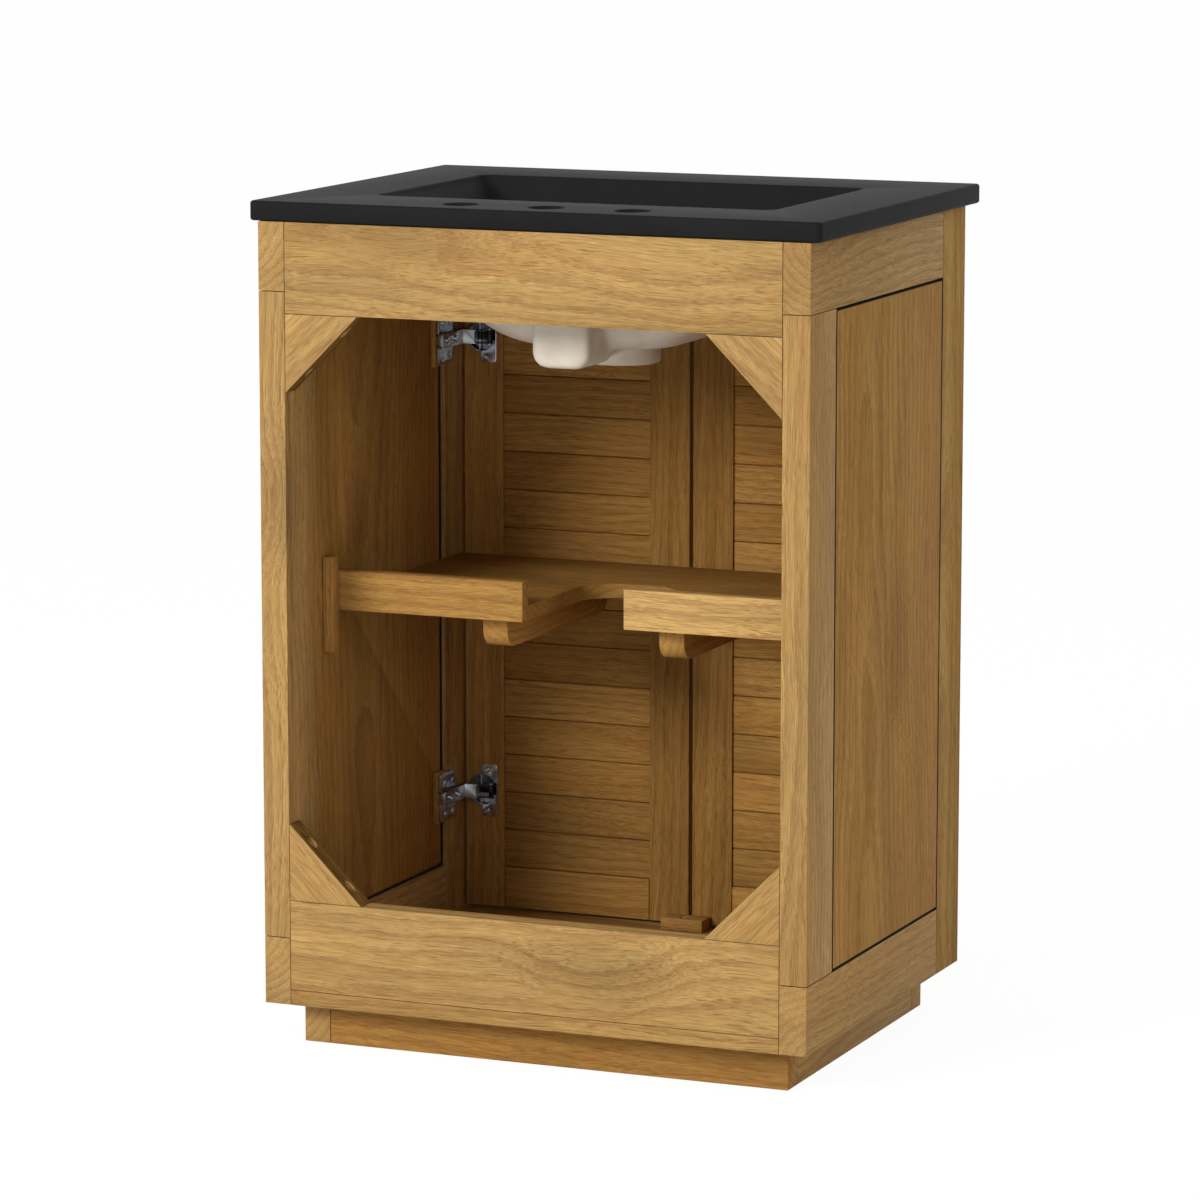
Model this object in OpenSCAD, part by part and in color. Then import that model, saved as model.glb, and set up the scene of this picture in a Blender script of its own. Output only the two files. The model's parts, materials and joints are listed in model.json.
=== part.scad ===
// Bathroom vanity unit: a frame and panel cabinet with an open back and two
// slatted inset doors, under a one piece ceramic top with a sunk basin.
// The front with the doors faces minus Y, the open back faces plus Y, and the
// origin is on the floor in the middle of the ceramic top.

/* [Overall size] */
// Width of the ceramic top
top_w = 610; // [590:1:640]
// Depth of the ceramic top, front to back
top_d = 470; // [455:1:500]
// Height from the floor to the top surface
total_h = 864; // [850:1:900]

/* [Ceramic top] */
// Thickness of the slab round the basin
slab_t = 20; // [18:1:24]
// Rounding of the slab's edges
slab_edge_r = 3; // [2:0.5:5]
// Overhang of the slab past the cabinet at each side
side_over = 10; // [5:1:16]
// Overhang of the slab past the cabinet's front
front_over = 18; // [10:1:24]
// Width of the basin's rim
rim_w = 428; // [410:1:440]
// Depth of the basin's rim, front to back
rim_d = 266; // [256:1:272]
// Distance from the slab's rear edge to the basin's rim
rim_rear = 105; // [98:1:112]
// Depth of the basin from the top surface to its floor
basin_h = 142; // [130:1:150]
// Width of the flat middle of the basin's dished floor
basin_floor_w = 84; // [82:1:110]
// Length of the flat middle of the floor, front to back
basin_floor_d = 92; // [84:1:120]
// Thickness of the bowl's walls
bowl_wall = 10; // [8:0.5:12]
// Diameter of the drain hole
drain_d = 45; // [40:0.5:48]
// Diameter of the countersunk seat round the drain hole
drain_seat_d = 62; // [52:1:64]
// Diameter of the boss round the drain
drain_boss_d = 80; // [72:1:88]
// Diameter of each faucet hole
faucet_d = 35; // [30:0.5:38]
// Distance between neighbouring faucet holes
faucet_pitch = 92; // [80:1:102]
// Distance from the slab's rear edge to the faucet holes
faucet_rear = 44; // [38:1:50]
// Width of the overflow duct behind the bowl
duct_w = 62; // [50:1:70]
// Distance that the duct stands out behind the basin's rim
duct_out = 30; // [26:1:34]

/* [Cabinet] */
// Thickness of the side frames
side_t = 29; // [27:0.5:32]
// Width of the front stile of a side frame
front_stile_w = 68; // [62:1:72]
// Width of the rear stile of a side frame
rear_stile_w = 72; // [66:1:80]
// Height of the top and bottom rails of a side frame
side_rail_h = 70; // [64:1:78]
// Recess of the side panel on the inside of its frame
panel_inset = 5.5; // [4:0.5:7]
// Shadow gap between the side panel and its frame
panel_gap = 2.5; // [1.5:0.5:4]
// Thickness of the rear rails and the front rail
rail_t = 25; // [22:0.5:28]
// Height of the rear top rail
rear_top_rail_h = 92; // [84:1:100]
// Height of the rear bottom rail
rear_bottom_rail_h = 93; // [84:1:100]
// Height of the front top rail above the doors
front_rail_h = 27; // [24:1:32]
// Thickness of the cabinet floor
floor_t = 16; // [14:1:19]
// Length of the short sides of the corner braces
brace_leg = 80; // [72:1:86]

/* [Plinth] */
// Height of the plinth
plinth_h = 44; // [36:1:56]
// Thickness of the plinth boards
plinth_t = 29; // [24:1:32]
// Setback of the plinth from the cabinet's faces
plinth_inset = 30; // [22:1:36]

/* [Shelf] */
// Height of the shelf's underside above the floor
shelf_z = 436; // [420:1:470]
// Thickness of the shelf
shelf_t = 16; // [14:1:18]
// Distance from the cabinet's front to the shelf's front edge
shelf_front = 33; // [31:1:40]
// Distance from the cabinet's rear to the shelf's rear edge
shelf_back = 125; // [117:1:142]
// Width of the pipe cut-out in the shelf
cutout_w = 110; // [100:1:130]
// Depth of the pipe cut-out from the shelf's rear edge
cutout_d = 164; // [140:1:180]
// Radius of the cut-out's inner corners
cutout_r = 45; // [30:1:48]
// Height of the lips along the shelf's rear edge
lip_h = 41.5; // [36:0.5:48]
// Thickness of the lips
lip_t = 16; // [12:1:20]
// Width of the runners under the shelf
runner_w = 28; // [22:1:32]
// Height of the runners
runner_h = 33; // [28:1:38]
// Distance between the middles of the two runners
runner_pitch = 194; // [160:1:220]
// Length of the upright stops behind the shelf
stop_len = 99; // [85:1:110]

/* [Doors] */
// Thickness of the door frames
door_t = 22; // [21:0.5:23]
// Distance of the doors' faces behind the cabinet's front
door_set = 1.5; // [1:0.5:2]
// Gap between a door and the side frame
door_side_gap = 3; // [2.8:0.1:4]
// Gap between the two doors
door_mid_gap = 3.5; // [3:0.5:5]
// Gap above and below the doors
door_end_gap = 2.5; // [2:0.5:4]
// Width of the door stiles
door_stile_w = 46; // [45:1:52]
// Height of the door rails
door_rail_h = 45; // [40:1:52]
// Thickness of the slats
slat_t = 12; // [11:0.5:13]
// Recess of the slats behind the rear face of the stiles
slat_recess = 3; // [2:0.5:4]
// Number of slats in each door
slat_count = 16; // [12:1:18]
// Seam between neighbouring slats
slat_seam = 0.8; // [0.5:0.1:1.5]
// Diameter of the knobs
knob_d = 24; // [18:1:28]
// Distance that the knobs stand out from the doors
knob_out = 19; // [17:0.5:19]

/* [Hinges] */
// Distance from a door's end to the middle of its hinge
hinge_end = 128.5; // [110:0.5:140]
// Diameter of the hinge cup
cup_d = 35; // [34:0.5:36]
// Depth of the hinge cup
cup_h = 12.2; // [12:0.1:12.6]
// Distance from the door's edge to the hinge cup
cup_edge = 3.5; // [3.5:0.5:4]
// Distance between the two screws of a cup
cup_screw_pitch = 45; // [44:0.5:47]
// Height of the arm above the side frame
arm_h = 8; // [7.5:0.5:9]
// Diameter of the hinge pins
hinge_pin_d = 2.5; // [2:0.1:2.8]
// Distance between the screw rows of a mounting plate
plate_pitch = 34; // [32:1:36]

/* [Door stop] */
// Width of the stop block behind the doors
block_w = 48; // [40:1:60]
// Depth of the stop block
block_d = 25; // [20:1:30]
// Height of the stop block
block_h = 13.5; // [12:0.5:18]

/* [Hidden] */
$fn = 48;

wood = "peru";
wood_dark = "sienna";
metal = "silver";
ceramic = [0.16, 0.16, 0.17];
knob_finish = [0.1, 0.1, 0.1];

// Overrun of every cut past the face that it opens
cut = 1;
// Clearance of a pin that turns in its bore, on the radius
run = 0.05;
// Slack of a fixed dowel, pin or screw in its bore, on the diameter
fit_slack = 0.04;
// Space left at the bottom of a bore
bore_end = 0.5;
// Space left at the bottom of a groove
groove_end = 0.5;

// Main planes of the cabinet and its two sides
front_y = -top_d / 2 + front_over;
rear_y = top_d / 2;
side_out = top_w / 2 - side_over;
side_in = side_out - side_t;
panel_in = side_in + panel_inset;
body_z0 = plinth_h;
body_z1 = total_h - slab_t;
floor_z1 = body_z0 + floor_t;

// Groove and tongue of the side frames
groove_t = 8;
groove_d = 9;
groove_x = (side_in + side_out) / 2;
groove_stop = 24;
stile_y = front_y + front_stile_w;
rear_stile_y = rear_y - rear_stile_w;
rail_z0 = body_z0 + side_rail_h;
rail_z1 = body_z1 - side_rail_h;
tongue = groove_d - groove_end;

// Dowels between the rails and the side frames
dowel_d = 8;
dowel_len = 36;
dowel_spread = 0.28;
floor_dowel_in = 45;

// Rear rails and braces
top_rail_z = body_z1 - rear_top_rail_h;
bottom_rail_z = floor_z1 + rear_bottom_rail_h;
brace_y = rear_y - rail_t / 2;
pocket_d = 10;
pocket_side = 20;
pocket_foot = 18;
pocket_floor = 9;
screw_d = 4;
screw_len = 28;
screw_head_d = 8;
screw_head_h = 3;

// Cross recess in the head of each screw
recess_w = 0.9;
recess_share = 0.62;
recess_depth = 1.1;

// Shelf
shelf_side_gap = 2;
shelf_y0 = front_y + shelf_front;
shelf_y1 = rear_y - shelf_back;
shelf_half = side_in - shelf_side_gap;
runner_back = 10;
runner_front = 18;
runner_r = 20;
stop_w = 12;
stop_d = 16;
stop_gap = 0.3;
stop_low = 13;
stop_y = shelf_y1 + lip_t + stop_gap;
shelf_pin_d = 5;
shelf_pin_in = 9;
shelf_pin_lug = 10;
shelf_pin_lug_h = 3;
shelf_pin_lug_l = 12;
shelf_pin_front = 22;
shelf_pin_rear = 37;
shelf_pin_front_y = shelf_y0 + shelf_pin_front;
shelf_pin_rear_y = shelf_y1 - shelf_pin_rear;

// Doors
door_y0 = front_y + door_set;
door_y1 = door_y0 + door_t;
door_x0 = door_mid_gap / 2;
door_x1 = side_in - door_side_gap;
door_z0 = floor_z1 + door_end_gap;
door_z1 = body_z1 - front_rail_h - door_end_gap;
door_mid_z = (door_z0 + door_z1) / 2;
door_groove_d = 6;
slat_y1 = door_y1 - slat_recess;
slat_y0 = slat_y1 - slat_t;
slat_pitch = (door_z1 - door_z0 - 2 * door_rail_h) / slat_count;
slat_chamfer = 0.8;
slat_tongue = 4;
slat_end = door_groove_d - 0.3;
knob_x = door_x0 + door_stile_w / 2;
knob_neck_d = 11;
knob_screw_d = 4;
knob_screw_in = 11;
knob_screw_head = 2.4;

// Hinges, laid out from the inner face of the side frame (u), from the
// cabinet's front (v) and from the middle of the hinge (w)
hinge_zs = [door_z0 + hinge_end, door_z1 - hinge_end];
door_back = door_set + door_t;
sheet = 1.5;

// Cup in the door, with its flange and its two screws
cup_u = door_side_gap + cup_edge + cup_d / 2;
cup_wall = 1.2;
cup_floor = 0.6;
cup_fit = 0.03;
flange_lap = 1;
flange_end = 6;
flange_short = 0.2;
flange_u0 = cup_u - flange_lap;
flange_u1 = cup_u + cup_d / 2 - flange_short;
flange_len = cup_screw_pitch + 2 * flange_end;
flange_r = 3.5;
cup_screw_off = 5;
cup_screw_u = cup_u + cup_screw_off;
cup_screw_d = 3.5;
cup_screw_len = 12;
cup_screw_head_d = 7;
cup_screw_head_h = 1.4;

// The lever turns on one pin in the cup and on one pin in the arm
cup_pin_off = 6;
cup_pin_depth = 8.5;
cup_pin_u = cup_u - cup_pin_off;
cup_pin_v = door_back - cup_pin_depth;
cup_pin_half = 15.6;
arm_pin_off = 12;
arm_pin_out = 6.5;
arm_pin_u = cup_u + arm_pin_off;
arm_pin_v = door_back + arm_pin_out;
lever_bend_off = 13.4;
lever_bend_drop = 1;
lever_bend_u = cup_u + lever_bend_off;
lever_bend_v = cup_pin_v - lever_bend_drop;
lever_t = 1.5;
lever_half = 5;
lever_slack = 0.2;
barrel_r = 2.5;

// Cranked arm, with an ear at each side for the lever's pin
arm_len = 65;
arm_rise = 0.5;
ear_in = 6;
ear_r = 3.2;
ear_neck = 6;
ear_dip = 1.5;
ear_foot = 0.3;
arm_half = ear_in + sheet;
crank_out = 12.5;
crank_short = 2.5;
crank_v = door_back + crank_out;
crank_u = cup_u - crank_short;
arm_v1 = door_back + arm_len;
arm_pin_head_d = hinge_pin_d + 2;
arm_pin_head_h = 0.9;

// Mounting plate, which lies across the joint of the stile and the panel
plate_t = 3.5;
plate_lap = 16;
plate_len = 37;
plate_half = 26;
plate_r = 3;
plate_v0 = front_stile_w - plate_lap;
plate_v1 = plate_v0 + plate_len;
plate_screw_in_v = 8;
plate_screw_run = 19;
plate_screw_vs = [plate_v0 + plate_screw_in_v, plate_v0 + plate_screw_in_v + plate_screw_run];
plate_screw_d = 4;
plate_screw_in = 14;
plate_screw_head_d = 7.5;
plate_sink_h = 2.2;
plate_core_out = 2;
plate_core_v0 = plate_v0 - plate_core_out;
plate_core_half = ear_in - 0.3;
plate_core_h = arm_h - 1;
arm_screw_in_v = 4;
arm_screw_run = 21;
arm_screw_vs = [plate_v0 + arm_screw_in_v, plate_v0 + arm_screw_in_v + arm_screw_run];
arm_screw_d = 4;
arm_screw_in = 6;
arm_screw_head_d = 6.5;
arm_screw_head_h = 1.6;
packing_half = 28.5;
packing_out = 3;
packing_v1 = plate_v1 + packing_out;

// Stop block and its countersunk screw
block_y0 = door_y1 + 1;
block_screw_d = 4;
block_screw_head_d = 8.5;
block_screw_in = 12;
block_sink_h = 4;

// A board between two corners
module board(x0, x1, y0, y1, z0, z1) {
  translate([x0, y0, z0]) cube([x1 - x0, y1 - y0, z1 - z0]);
}

// Puts a right hand piece on its side: 1 is right, minus 1 is left
module on_side(side) {
  if (side < 0) mirror([1, 0, 0]) children();
  else children();
}

// Puts a piece in the hinge's own frame of u, v and w at each hinge
module at_hinges(side) {
  on_side(side)
    for (z = hinge_zs)
      translate([side_in, front_y, z]) mirror([1, 0, 0]) children();
}

// A rod along X or Y from a point
module rod_x(d, len) { rotate([0, 90, 0]) cylinder(d = d, h = len); }
module rod_y(d, len) { rotate([-90, 0, 0]) cylinder(d = d, h = len); }

// A straight strip between two points of a flat outline
module strip(p, q, t) {
  run_len = norm([q[0] - p[0], q[1] - p[1]]);
  translate(p) rotate(atan2(q[1] - p[1], q[0] - p[0]))
    translate([0, -t / 2]) square([run_len, t]);
}

// The points of a level rounded rectangle, one ring of the bowl
function bowl_ring(w, d, r, z) = [
  for (c = [[1, 1, 0], [-1, 1, 90], [-1, -1, 180], [1, -1, 270]], i = [0:ring_steps])
    let (a = c[2] + 90 * i / ring_steps)
      [c[0] * (w / 2 - r) + r * cos(a), c[1] * (d / 2 - r) + r * sin(a), z]
];

// A closed solid through such rings, from the top one down
module loft(rings) {
  n = len(rings[0]);
  last = n * (len(rings) - 1);
  walls = [
    for (k = [0:len(rings) - 2], i = [0:n - 1], half = [0, 1])
      let (a = k * n + i, b = k * n + (i + 1) % n) half == 0 ? [a, b, b + n] : [a, b + n, a + n]
  ];
  polyhedron(
    points = [for (ring = rings, point = ring) point],
    faces = concat([[for (i = [1:n]) n - i]], walls, [[for (i = [0:n - 1]) last + i]])
  );
}

// Cross shaped recess, cut down from the head of a screw that points to
// minus Z with its top at z = 0
module cross_recess(head_d) {
  w = head_d * recess_share;
  for (a = [0, 90])
    rotate(a) translate([-w / 2, -recess_w / 2, -recess_depth]) cube([w, recess_w, recess_depth + cut]);
}

// Ceramic top: the slab, the bowl that hangs below it, its drain and duct
rim_y = rear_y - rim_rear - rim_d / 2;
faucet_y = rear_y - faucet_rear;
faucet_chamfer = 1.5;
lip_drop = 6;
lip_out = 2;
lip_r = 10;
wall_y = rim_y + rim_d / 2;
bowl_z = total_h - basin_h;
// Run of the side walls and of the front and rear walls for each mm of depth
slope_w = 0.87;
slope_d = 0.16;
// Dished part of the basin, between its walls and the flat middle of its floor,
// as a superellipse whose power is lower, so rounder, on the outside
curve_h = 30;
curve_steps = 8;
curve_power_in = 4;
curve_power_out = 3;
curve_r0 = 22;
curve_r1 = 34;
ring_steps = 8;
seat_h = 4;
boss_h = 22;
boss_z = bowl_z - bowl_wall - boss_h;
duct_y1 = wall_y + duct_out;
duct_drop = 12;
duct_z = bowl_z - bowl_wall - duct_drop;
duct_r = 18;
duct_wall = 8;
duct_hollow_d = 12;
duct_in = 40;
waist_in = 11;
waist_back = 20;
waist_up = 2;
pipe_w = 26;
pipe_h = 10;
pipe_z = duct_z + 6;
overflow_d = 22;
overflow_drop = 34;
overflow_z = total_h - overflow_drop;
overflow_in = 30;

module slab() {
  r = slab_edge_r;
  intersection() {
    translate([0, 0, body_z1]) linear_extrude(slab_t) rounded_rect(top_w, top_d, r + 1);
    translate([0, top_d / 2, body_z1 + slab_t / 2]) rotate([90, 0, 0])
      linear_extrude(top_d) rounded_rect(top_w, slab_t, r);
    translate([-top_w / 2, 0, body_z1 + slab_t / 2]) rotate([90, 0, 90])
      linear_extrude(top_w) rounded_rect(top_d, slab_t, r);
  }
}

module rounded_rect(w, d, r) {
  square([w - 2 * r, d], center = true);
  square([w, d - 2 * r], center = true);
  for (sx = [-1, 1], sy = [-1, 1])
    translate([sx * (w / 2 - r), sy * (d / 2 - r)]) circle(r);
}

// The hollow of the basin, grown by a wall for the outside of the bowl: sloping
// walls, then a dished floor that leaves them without a kink
module basin_form(grow) {
  top_z = grow > 0 ? body_z1 : total_h - lip_drop;
  drop = total_h - lip_drop - top_z;
  fall = basin_h - curve_h - lip_drop;
  wall_w = rim_w - 2 * lip_out - 2 * slope_w * fall + 2 * grow;
  wall_d = rim_d - 2 * lip_out - 2 * slope_d * fall + 2 * grow;
  floor_w = basin_floor_w + 2 * grow;
  floor_d = basin_floor_d + 2 * grow;
  dish_h = curve_h + grow;
  power = grow > 0 ? curve_power_out : curve_power_in;
  loft(concat(
    [bowl_ring(rim_w - 2 * lip_out - 2 * slope_w * drop + 2 * grow,
      rim_d - 2 * lip_out - 2 * slope_d * drop + 2 * grow, lip_r + grow, top_z + 0.01)],
    [for (i = [0:curve_steps])
      let (t = sin(90 * i / curve_steps), reach = pow(1 - pow(t, power), 1 / power))
        bowl_ring(floor_w + (wall_w - 2 * slope_w * dish_h * t - floor_w) * reach,
          floor_d + (wall_d - 2 * slope_d * dish_h * t - floor_d) * reach,
          curve_r0 + (curve_r1 - curve_r0) * t + grow, bowl_z + curve_h - dish_h * t)]
  ));
}

// Rounded mouth of the basin
module basin_lip() {
  loft([
    bowl_ring(rim_w + 0.2, rim_d + 0.2, lip_r + lip_out, total_h + cut),
    bowl_ring(rim_w, rim_d, lip_r + lip_out, total_h),
    bowl_ring(rim_w - 1.5 * lip_out, rim_d - 1.5 * lip_out, lip_r + lip_out / 2, total_h - lip_drop / 2),
    bowl_ring(rim_w - 2 * lip_out, rim_d - 2 * lip_out, lip_r, total_h - lip_drop - 0.01)
  ]);
}

module duct_block() {
  translate([0, duct_y1, 0]) rotate([90, 0, 0]) linear_extrude(duct_y1 - wall_y + duct_in) {
    translate([-duct_w / 2, duct_z + duct_r]) square([duct_w, body_z1 - duct_z - duct_r]);
    translate([-duct_w / 2 + duct_r, duct_z]) square([duct_w - 2 * duct_r, duct_r]);
    for (sx = [-1, 1]) translate([sx * (duct_w / 2 - duct_r), duct_z + duct_r]) circle(duct_r);
  }
}

// A round hole down through the ceramic, with a flared mouth at its top
module flared_hole(d, mouth_d, mouth_h, z0, z1) {
  translate([0, 0, z0 - cut]) cylinder(d = d, h = z1 - z0 + 2 * cut);
  translate([0, 0, z1 - mouth_h]) cylinder(d1 = d, d2 = mouth_d, h = mouth_h);
  translate([0, 0, z1 - 0.01]) cylinder(d = mouth_d, h = cut);
}

module ceramic_sink_top() {
  waist_w = duct_w - 2 * waist_in;
  duct_in_w = duct_w - 2 * duct_wall;
  overflow_len = overflow_in + duct_out - duct_wall - duct_hollow_d / 2;
  color(ceramic) difference() {
    union() {
      slab();
      translate([0, rim_y, 0]) basin_form(bowl_wall);
      duct_block();
      board(-waist_w / 2, waist_w / 2, rim_y, duct_y1 - waist_back, duct_z + waist_up, bowl_z);
      translate([0, rim_y, boss_z]) cylinder(d = drain_boss_d, h = bowl_z - boss_z - 2);
    }
    translate([0, rim_y, 0]) basin_form(0);
    translate([0, rim_y, 0]) basin_lip();
    translate([0, rim_y, 0]) flared_hole(drain_d, drain_seat_d, seat_h, boss_z, bowl_z);
    for (i = [-1:1]) translate([i * faucet_pitch, faucet_y, 0])
      flared_hole(faucet_d, faucet_d + 2 * faucet_chamfer, faucet_chamfer, body_z1, total_h);
    board(-duct_in_w / 2, duct_in_w / 2, duct_y1 - duct_wall - duct_hollow_d, duct_y1 - duct_wall,
      duct_z + duct_wall, body_z1 - 4);
    board(-pipe_w / 2, pipe_w / 2, rim_y + drain_d / 2 - 4, duct_y1 - duct_wall - 2,
      pipe_z, pipe_z + pipe_h);
    translate([0, wall_y - overflow_in, overflow_z]) rod_y(overflow_d, overflow_len);
  }
}

// Bores for the dowels, shared by the rails, the floor and the side frames
module dowel_places() {
  y_rear = rear_y - rail_t / 2;
  for (t = [dowel_spread, 1 - dowel_spread]) {
    translate([side_in, y_rear, top_rail_z + t * rear_top_rail_h]) children();
    translate([side_in, y_rear, floor_z1 + t * rear_bottom_rail_h]) children();
  }
  translate([side_in, front_y + rail_t / 2, body_z1 - front_rail_h / 2]) children();
  for (y = [front_y + floor_dowel_in, 0, rear_y - floor_dowel_in])
    translate([side_in, y, body_z0 + floor_t / 2]) children();
}

module dowel_bores() {
  for (side = [-1, 1]) on_side(side) dowel_places()
    translate([-dowel_len / 2, 0, 0]) rod_x(dowel_d, dowel_len);
}

module frame_dowels() {
  color(wood)
    for (side = [-1, 1]) on_side(side) dowel_places()
      translate([-dowel_len / 2 + bore_end, 0, 0])
        rod_x(dowel_d - fit_slack, dowel_len - 2 * bore_end);
}

// Places of the pocket screws: a brace's own frame has x to the middle of
// the cabinet and z away from the rail
module at_braces(upper) {
  z = upper ? top_rail_z : bottom_rail_z;
  for (side = [-1, 1]) on_side(side)
    translate([side_in, brace_y, z]) mirror([1, 0, 0])
      mirror([0, 0, upper ? 1 : 0]) children();
}

module brace_bores(shank_d) {
  h_side = brace_leg - pocket_side;
  w_foot = brace_leg - pocket_foot;
  translate([pocket_floor + 2, 0, h_side]) rod_x(pocket_d, brace_leg);
  translate([pocket_floor + 2 - screw_len, 0, h_side]) rod_x(shank_d, screw_len + cut);
  translate([w_foot, 0, pocket_floor]) cylinder(d = pocket_d, h = brace_leg);
  translate([w_foot, 0, pocket_floor - screw_len]) cylinder(d = shank_d, h = screw_len + cut);
}

module corner_braces(upper) {
  color(wood) at_braces(upper) difference() {
    translate([0, rail_t / 2, 0]) rotate([90, 0, 0])
      linear_extrude(rail_t - 0.5) polygon([[0, 0], [brace_leg, 0], [0, brace_leg]]);
    brace_bores(screw_d);
  }
}

module brace_screw() {
  difference() {
    cylinder(d = screw_head_d, h = screw_head_h);
    translate([0, 0, screw_head_h]) cross_recess(screw_head_d);
  }
  translate([0, 0, -screw_len + 1]) cylinder(d = screw_d - fit_slack, h = screw_len);
}

module brace_screws() {
  color(metal)
    for (upper = [true, false]) at_braces(upper) {
      translate([pocket_floor + 2, 0, brace_leg - pocket_side]) rotate([0, 90, 0]) brace_screw();
      translate([brace_leg - pocket_foot, 0, pocket_floor]) brace_screw();
    }
}

module brace_screw_bores() {
  for (upper = [true, false]) at_braces(upper) brace_bores(screw_d);
}

// Side frames: two stiles, two rails and a panel held in their grooves
module front_stile(side) {
  color(wood) difference() {
    on_side(side) difference() {
      board(side_in, side_out, front_y, stile_y, body_z0, body_z1);
      board(groove_x - groove_t / 2, groove_x + groove_t / 2,
        stile_y - groove_d, stile_y + cut, body_z0 - cut, body_z1 + cut);
      shelf_pin_bore(shelf_pin_front_y, side_in);
    }
    dowel_bores();
    at_hinges(side) plate_screw_bores(plate_screw_d);
  }
}

module rear_stile(side) {
  color(wood) difference() {
    on_side(side) difference() {
      union() {
        board(side_in, side_out, rear_stile_y, rear_y, rail_z0, rail_z1);
        board(groove_x - groove_t / 2, groove_x + groove_t / 2,
          rear_stile_y, rear_y - groove_stop - groove_end, rail_z0 - tongue, rail_z1 + tongue);
      }
      board(groove_x - groove_t / 2, groove_x + groove_t / 2,
        rear_stile_y - cut, rear_stile_y + groove_d, rail_z0 - groove_d, rail_z1 + groove_d);
    }
    dowel_bores();
    brace_screw_bores();
  }
}

module side_rail(side, z0, z1, groove_z) {
  color(wood) difference() {
    on_side(side) difference() {
      union() {
        board(side_in, side_out, stile_y, rear_y, z0, z1);
        board(groove_x - groove_t / 2, groove_x + groove_t / 2,
          stile_y - tongue, stile_y + cut, z0, z1);
      }
      board(groove_x - groove_t / 2, groove_x + groove_t / 2,
        stile_y - groove_d, rear_y - groove_stop, groove_z, groove_z + groove_d + cut);
    }
    dowel_bores();
    brace_screw_bores();
  }
}

module side_panel(side) {
  color(wood) difference() {
    on_side(side) difference() {
      union() {
        board(panel_in, side_out, stile_y + panel_gap, rear_stile_y - panel_gap,
          rail_z0 + panel_gap, rail_z1 - panel_gap);
        board(groove_x - groove_t / 2, groove_x + groove_t / 2,
          stile_y - tongue, rear_stile_y + tongue, rail_z0 - tongue, rail_z1 + tongue);
      }
      shelf_pin_bore(shelf_pin_rear_y, panel_in);
    }
    at_hinges(side) plate_screw_bores(plate_screw_d);
  }
}

// Rails, floor and plinth
module rear_rail(z0, z1) {
  color(wood) difference() {
    board(-side_in, side_in, rear_y - rail_t, rear_y, z0, z1);
    dowel_bores();
    brace_screw_bores();
  }
}

module front_top_rail() {
  color(wood) difference() {
    board(-side_in, side_in, front_y, front_y + rail_t, body_z1 - front_rail_h, body_z1);
    dowel_bores();
  }
}

module cabinet_floor() {
  color(wood_dark) difference() {
    board(-side_in, side_in, front_y, rear_y, body_z0, floor_z1);
    dowel_bores();
    translate([0, block_y0 + block_d / 2, floor_z1 - block_screw_in])
      cylinder(d = block_screw_d, h = block_screw_in + cut);
  }
}

plinth_x = side_out - plinth_inset;
plinth_y0 = front_y + plinth_inset;
plinth_y1 = rear_y - plinth_inset;

module plinth_front() {
  color(wood) board(-plinth_x, plinth_x, plinth_y0, plinth_y0 + plinth_t, 0, plinth_h);
}

module plinth_rear() {
  color(wood)
    board(-plinth_x, plinth_x - plinth_t, plinth_y1 - plinth_t, plinth_y1, 0, plinth_h);
}

module plinth_right() {
  color(wood)
    board(plinth_x - plinth_t, plinth_x, plinth_y0 + plinth_t, plinth_y1, 0, plinth_h);
}

module plinth_left() {
  color(wood) board(-plinth_x, -plinth_x + plinth_t, plinth_y0 + plinth_t,
    plinth_y1 - plinth_t, 0, plinth_h);
}

// Shelf with its pipe cut-out, lips, runners, stops and pins
module shelf() {
  apex = shelf_y1 - cutout_d;
  color(wood_dark) translate([0, 0, shelf_z]) linear_extrude(shelf_t) difference() {
    translate([-shelf_half, shelf_y0]) square([2 * shelf_half, shelf_y1 - shelf_y0]);
    translate([-cutout_w / 2, apex + cutout_r]) square([cutout_w, cutout_d]);
    translate([-cutout_w / 2 + cutout_r, apex]) square([cutout_w - 2 * cutout_r, cutout_d]);
    for (sx = [-1, 1]) translate([sx * (cutout_w / 2 - cutout_r), apex + cutout_r])
      circle(cutout_r, $fn = 96);
  }
}

module shelf_lip(side) {
  color(wood) on_side(side)
    board(cutout_w / 2, shelf_half, shelf_y1, shelf_y1 + lip_t, shelf_z, shelf_z + lip_h);
}

module shelf_runners() {
  y0 = shelf_y0 + runner_front;
  y1 = shelf_y1 - runner_back;
  color(wood) for (side = [-1, 1])
    translate([side * runner_pitch / 2 - runner_w / 2, 0, shelf_z - runner_h])
      rotate([90, 0, 90]) linear_extrude(runner_w) {
        translate([y0, runner_r]) square([y1 - y0, runner_h - runner_r]);
        translate([y0 + runner_r, 0]) square([y1 - y0 - 2 * runner_r, runner_h]);
        for (y = [y0 + runner_r, y1 - runner_r]) translate([y, runner_r]) intersection() {
          circle(runner_r);
          translate([-runner_r, -runner_r]) square([2 * runner_r, runner_r]);
        }
      }
}

module shelf_stops() {
  z = shelf_z + lip_h / 2 - stop_low;
  color(wood) for (side = [-1, 1]) on_side(side)
    board(panel_in - stop_w, panel_in, stop_y, stop_y + stop_d, z - stop_len / 2, z + stop_len / 2);
}

module shelf_pin_bore(y, face) {
  translate([face - cut, y, shelf_z - shelf_pin_d / 2]) rod_x(shelf_pin_d, shelf_pin_in + cut + bore_end);
}

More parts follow.
